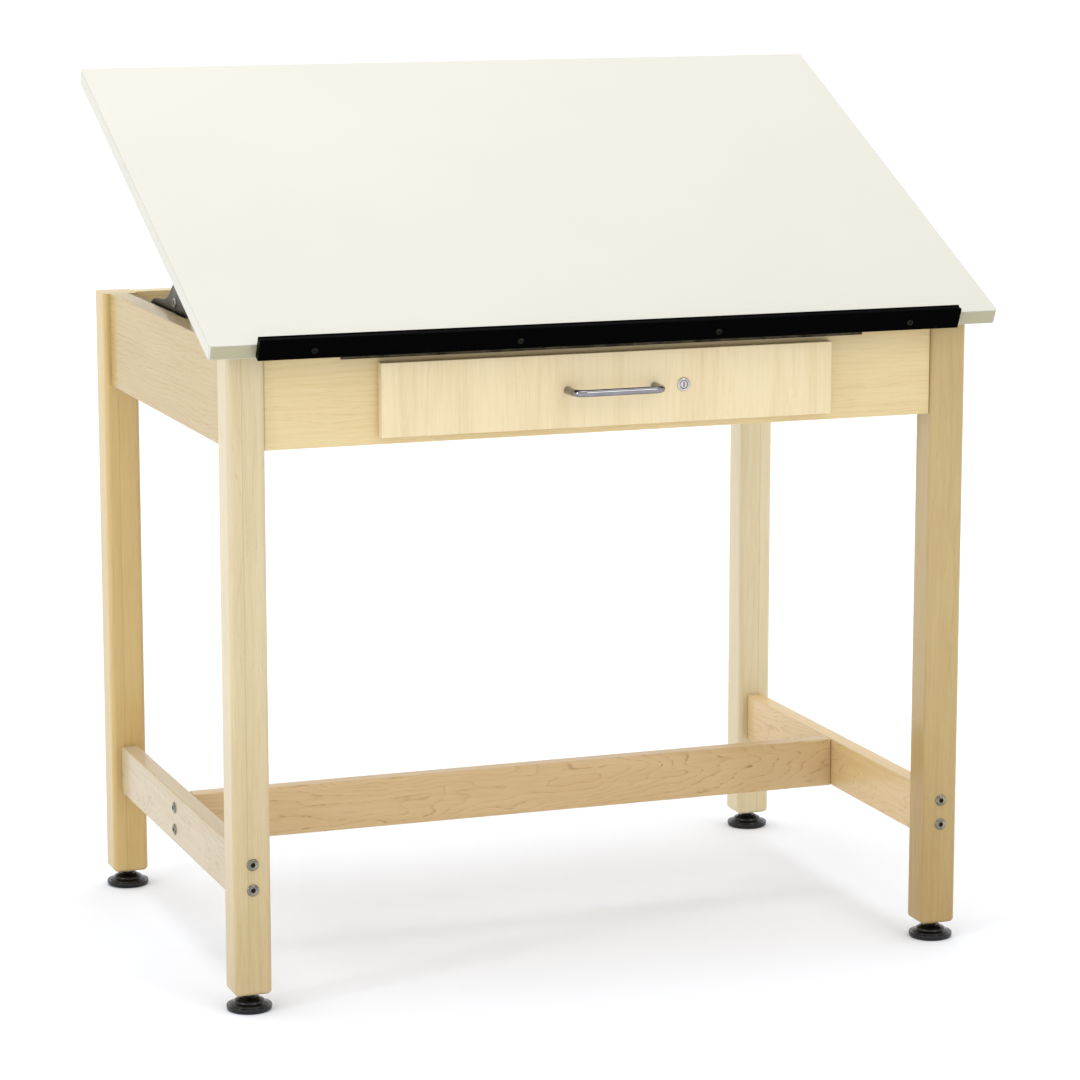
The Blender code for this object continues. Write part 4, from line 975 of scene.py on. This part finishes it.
def make_lock():
    """Cam lock: rim and barrel, ring nut behind the front, and the plug with key way, cam and its screw."""
    _, high, middle, size = box_of("lock_body")
    front_low, front_high, _, _ = box_of("drawer_front")
    rim, barrel, bore = size.x / 2, 0.0059, 0.0047
    axis = Vector((middle.x, front_low.y, middle.z))
    outward = facing(axis, (0, -1, 0))
    rear = axis.y - high.y
    profile = [(bore, 0.0012), (bore + 0.0005, 0.0018), (rim - 0.0018, 0.0019), (rim - 0.0006, 0.0015),
               (rim, 0.0008), (rim, GAP), (barrel, GAP), (barrel, rear), (bore, rear), (bore, 0.0012)]
    piece("lock_body_rim", lathe(profile, 56), LOCK_PLATE, "lock_body", turn=outward)
    nut = boolean(prism(hexagon(0.0095), 0, 0.003, "XY", 0.0004, 2),
                  [rod((0, 0, -0.01), (0, 0, 0.01), barrel + 0.0001, 40)])
    seat = facing((axis.x, front_high.y + GAP, axis.z), (0, 1, 0))
    piece("lock_nut", nut, NICKEL, (), "drawer", "nickel", turn=seat)

    radius, cam_thick = bore - GAP, 0.0020
    end = axis.y - box_of("lock_plug")[1].y
    profile = [(0, 0.0016), (radius - 0.0005, 0.0016), (radius, 0.0011), (radius, end), (0, end)]
    way = block((-0.0006, -0.0029, -0.003), (0.0006, 0.0029, 0.01), 0)
    plug = boolean(lathe(profile, 48), [way])
    piece("lock_plug_keyed", plug, LOCK_PLATE, "lock_plug", turn=outward)
    outline = arc((0, 0), 0.0070, 90, 270, 16) + arc((0.0300, 0), 0.0056, 270, 450, 14)
    cam = [(axis.x + a, axis.z + b) for a, b in outline]
    y = axis.y - end - 0.0006 - cam_thick
    piece("lock_cam", prism(cam, y, y + cam_thick, "XZ", 0.0003, 2), ZINC, (), "lock_plug", "nickel")
    seat = (axis.x, axis.y - end + 0.0001, axis.z)
    fasten("lock_cam_screw", SMALL_SCREW, seat, (0, 1, 0), "lock_plug", "nickel")


# ---- stage

CAMERA_AT, CAMERA_LENS = (-1.4948, -4.1343, 1.2583), 127.5
CAMERA_YAW, CAMERA_PITCH = math.radians(20.12), math.radians(10.41)
FLOOR_DULL, FLOOR_BRIGHT = 0.8, 4.0  # distances from the table's middle


def add_softbox(name, place, aim, power, size):
    light = bpy.data.lights.new(name, "AREA")
    light.energy = power
    light.shape = "RECTANGLE"
    light.size, light.size_y = size
    made = bpy.data.objects.new(name, light)
    made.location = place
    made.rotation_euler = (Vector(aim) - Vector(place)).to_track_quat("-Z", "Y").to_euler()
    bpy.context.scene.collection.objects.link(made)


def make_stage():
    """White floor, with a painted glow that grows away from the table, soft studio light and the camera."""
    scene = bpy.context.scene
    scene.view_settings.view_transform = "Standard"
    world = bpy.data.worlds.new("studio")
    world.use_nodes = True
    background = world.node_tree.nodes["Background"].inputs
    background["Color"].default_value = (1, 1, 1, 1)
    background["Strength"].default_value = 1.0
    scene.world = world
    bpy.ops.mesh.primitive_plane_add(size=60)
    floor = bpy.context.object
    floor.name = "floor"
    plain = Nodes("pale_floor")
    plain.shader.inputs["Emission Color"].default_value = (1, 1, 1, 1)
    # Painted light: beyond FLOOR_DULL the floor glows, rising to full at FLOOR_BRIGHT, so the far floor reads
    # white while the shade under the table stays.
    glow = plain.between(plain.length(plain.place), FLOOR_DULL, FLOOR_BRIGHT, 0.0, 0.25)
    plain.feed(plain.shader.inputs["Emission Strength"], glow)
    floor.data.materials.append(plain.done((0.868, 0.893, 0.942), 0.9, Specular_IOR_Level=0.0))
    add_softbox("overhead_softbox", (-0.1, 0.2, 3.6), (0, 0, 0), 63, (3.2, 3.2))
    add_softbox("front_softbox", (1.6, -4.0, 2.9), (0, 0, 0.5), 18, (1.2, 1.6))
    add_softbox("side_strip", (-3.4, -1.3, 1.5), (0, 0, 0.7), 22, (0.35, 2.6))
    camera = bpy.data.cameras.new("camera")
    camera.sensor_width = 36
    camera.lens = CAMERA_LENS
    camera.clip_end = 100
    seen = bpy.data.objects.new("camera", camera)
    seen.location = CAMERA_AT
    seen.rotation_euler = (math.pi / 2 - CAMERA_PITCH, 0, -CAMERA_YAW)
    scene.collection.objects.link(seen)
    scene.camera = seen


for make in (
    make_stage, make_legs, make_aprons, make_stretchers, make_braces, make_bolts, make_levellers, make_board,
    make_trough, make_hinge, make_supports, make_drawer, make_pull, make_lock,
):
    make()
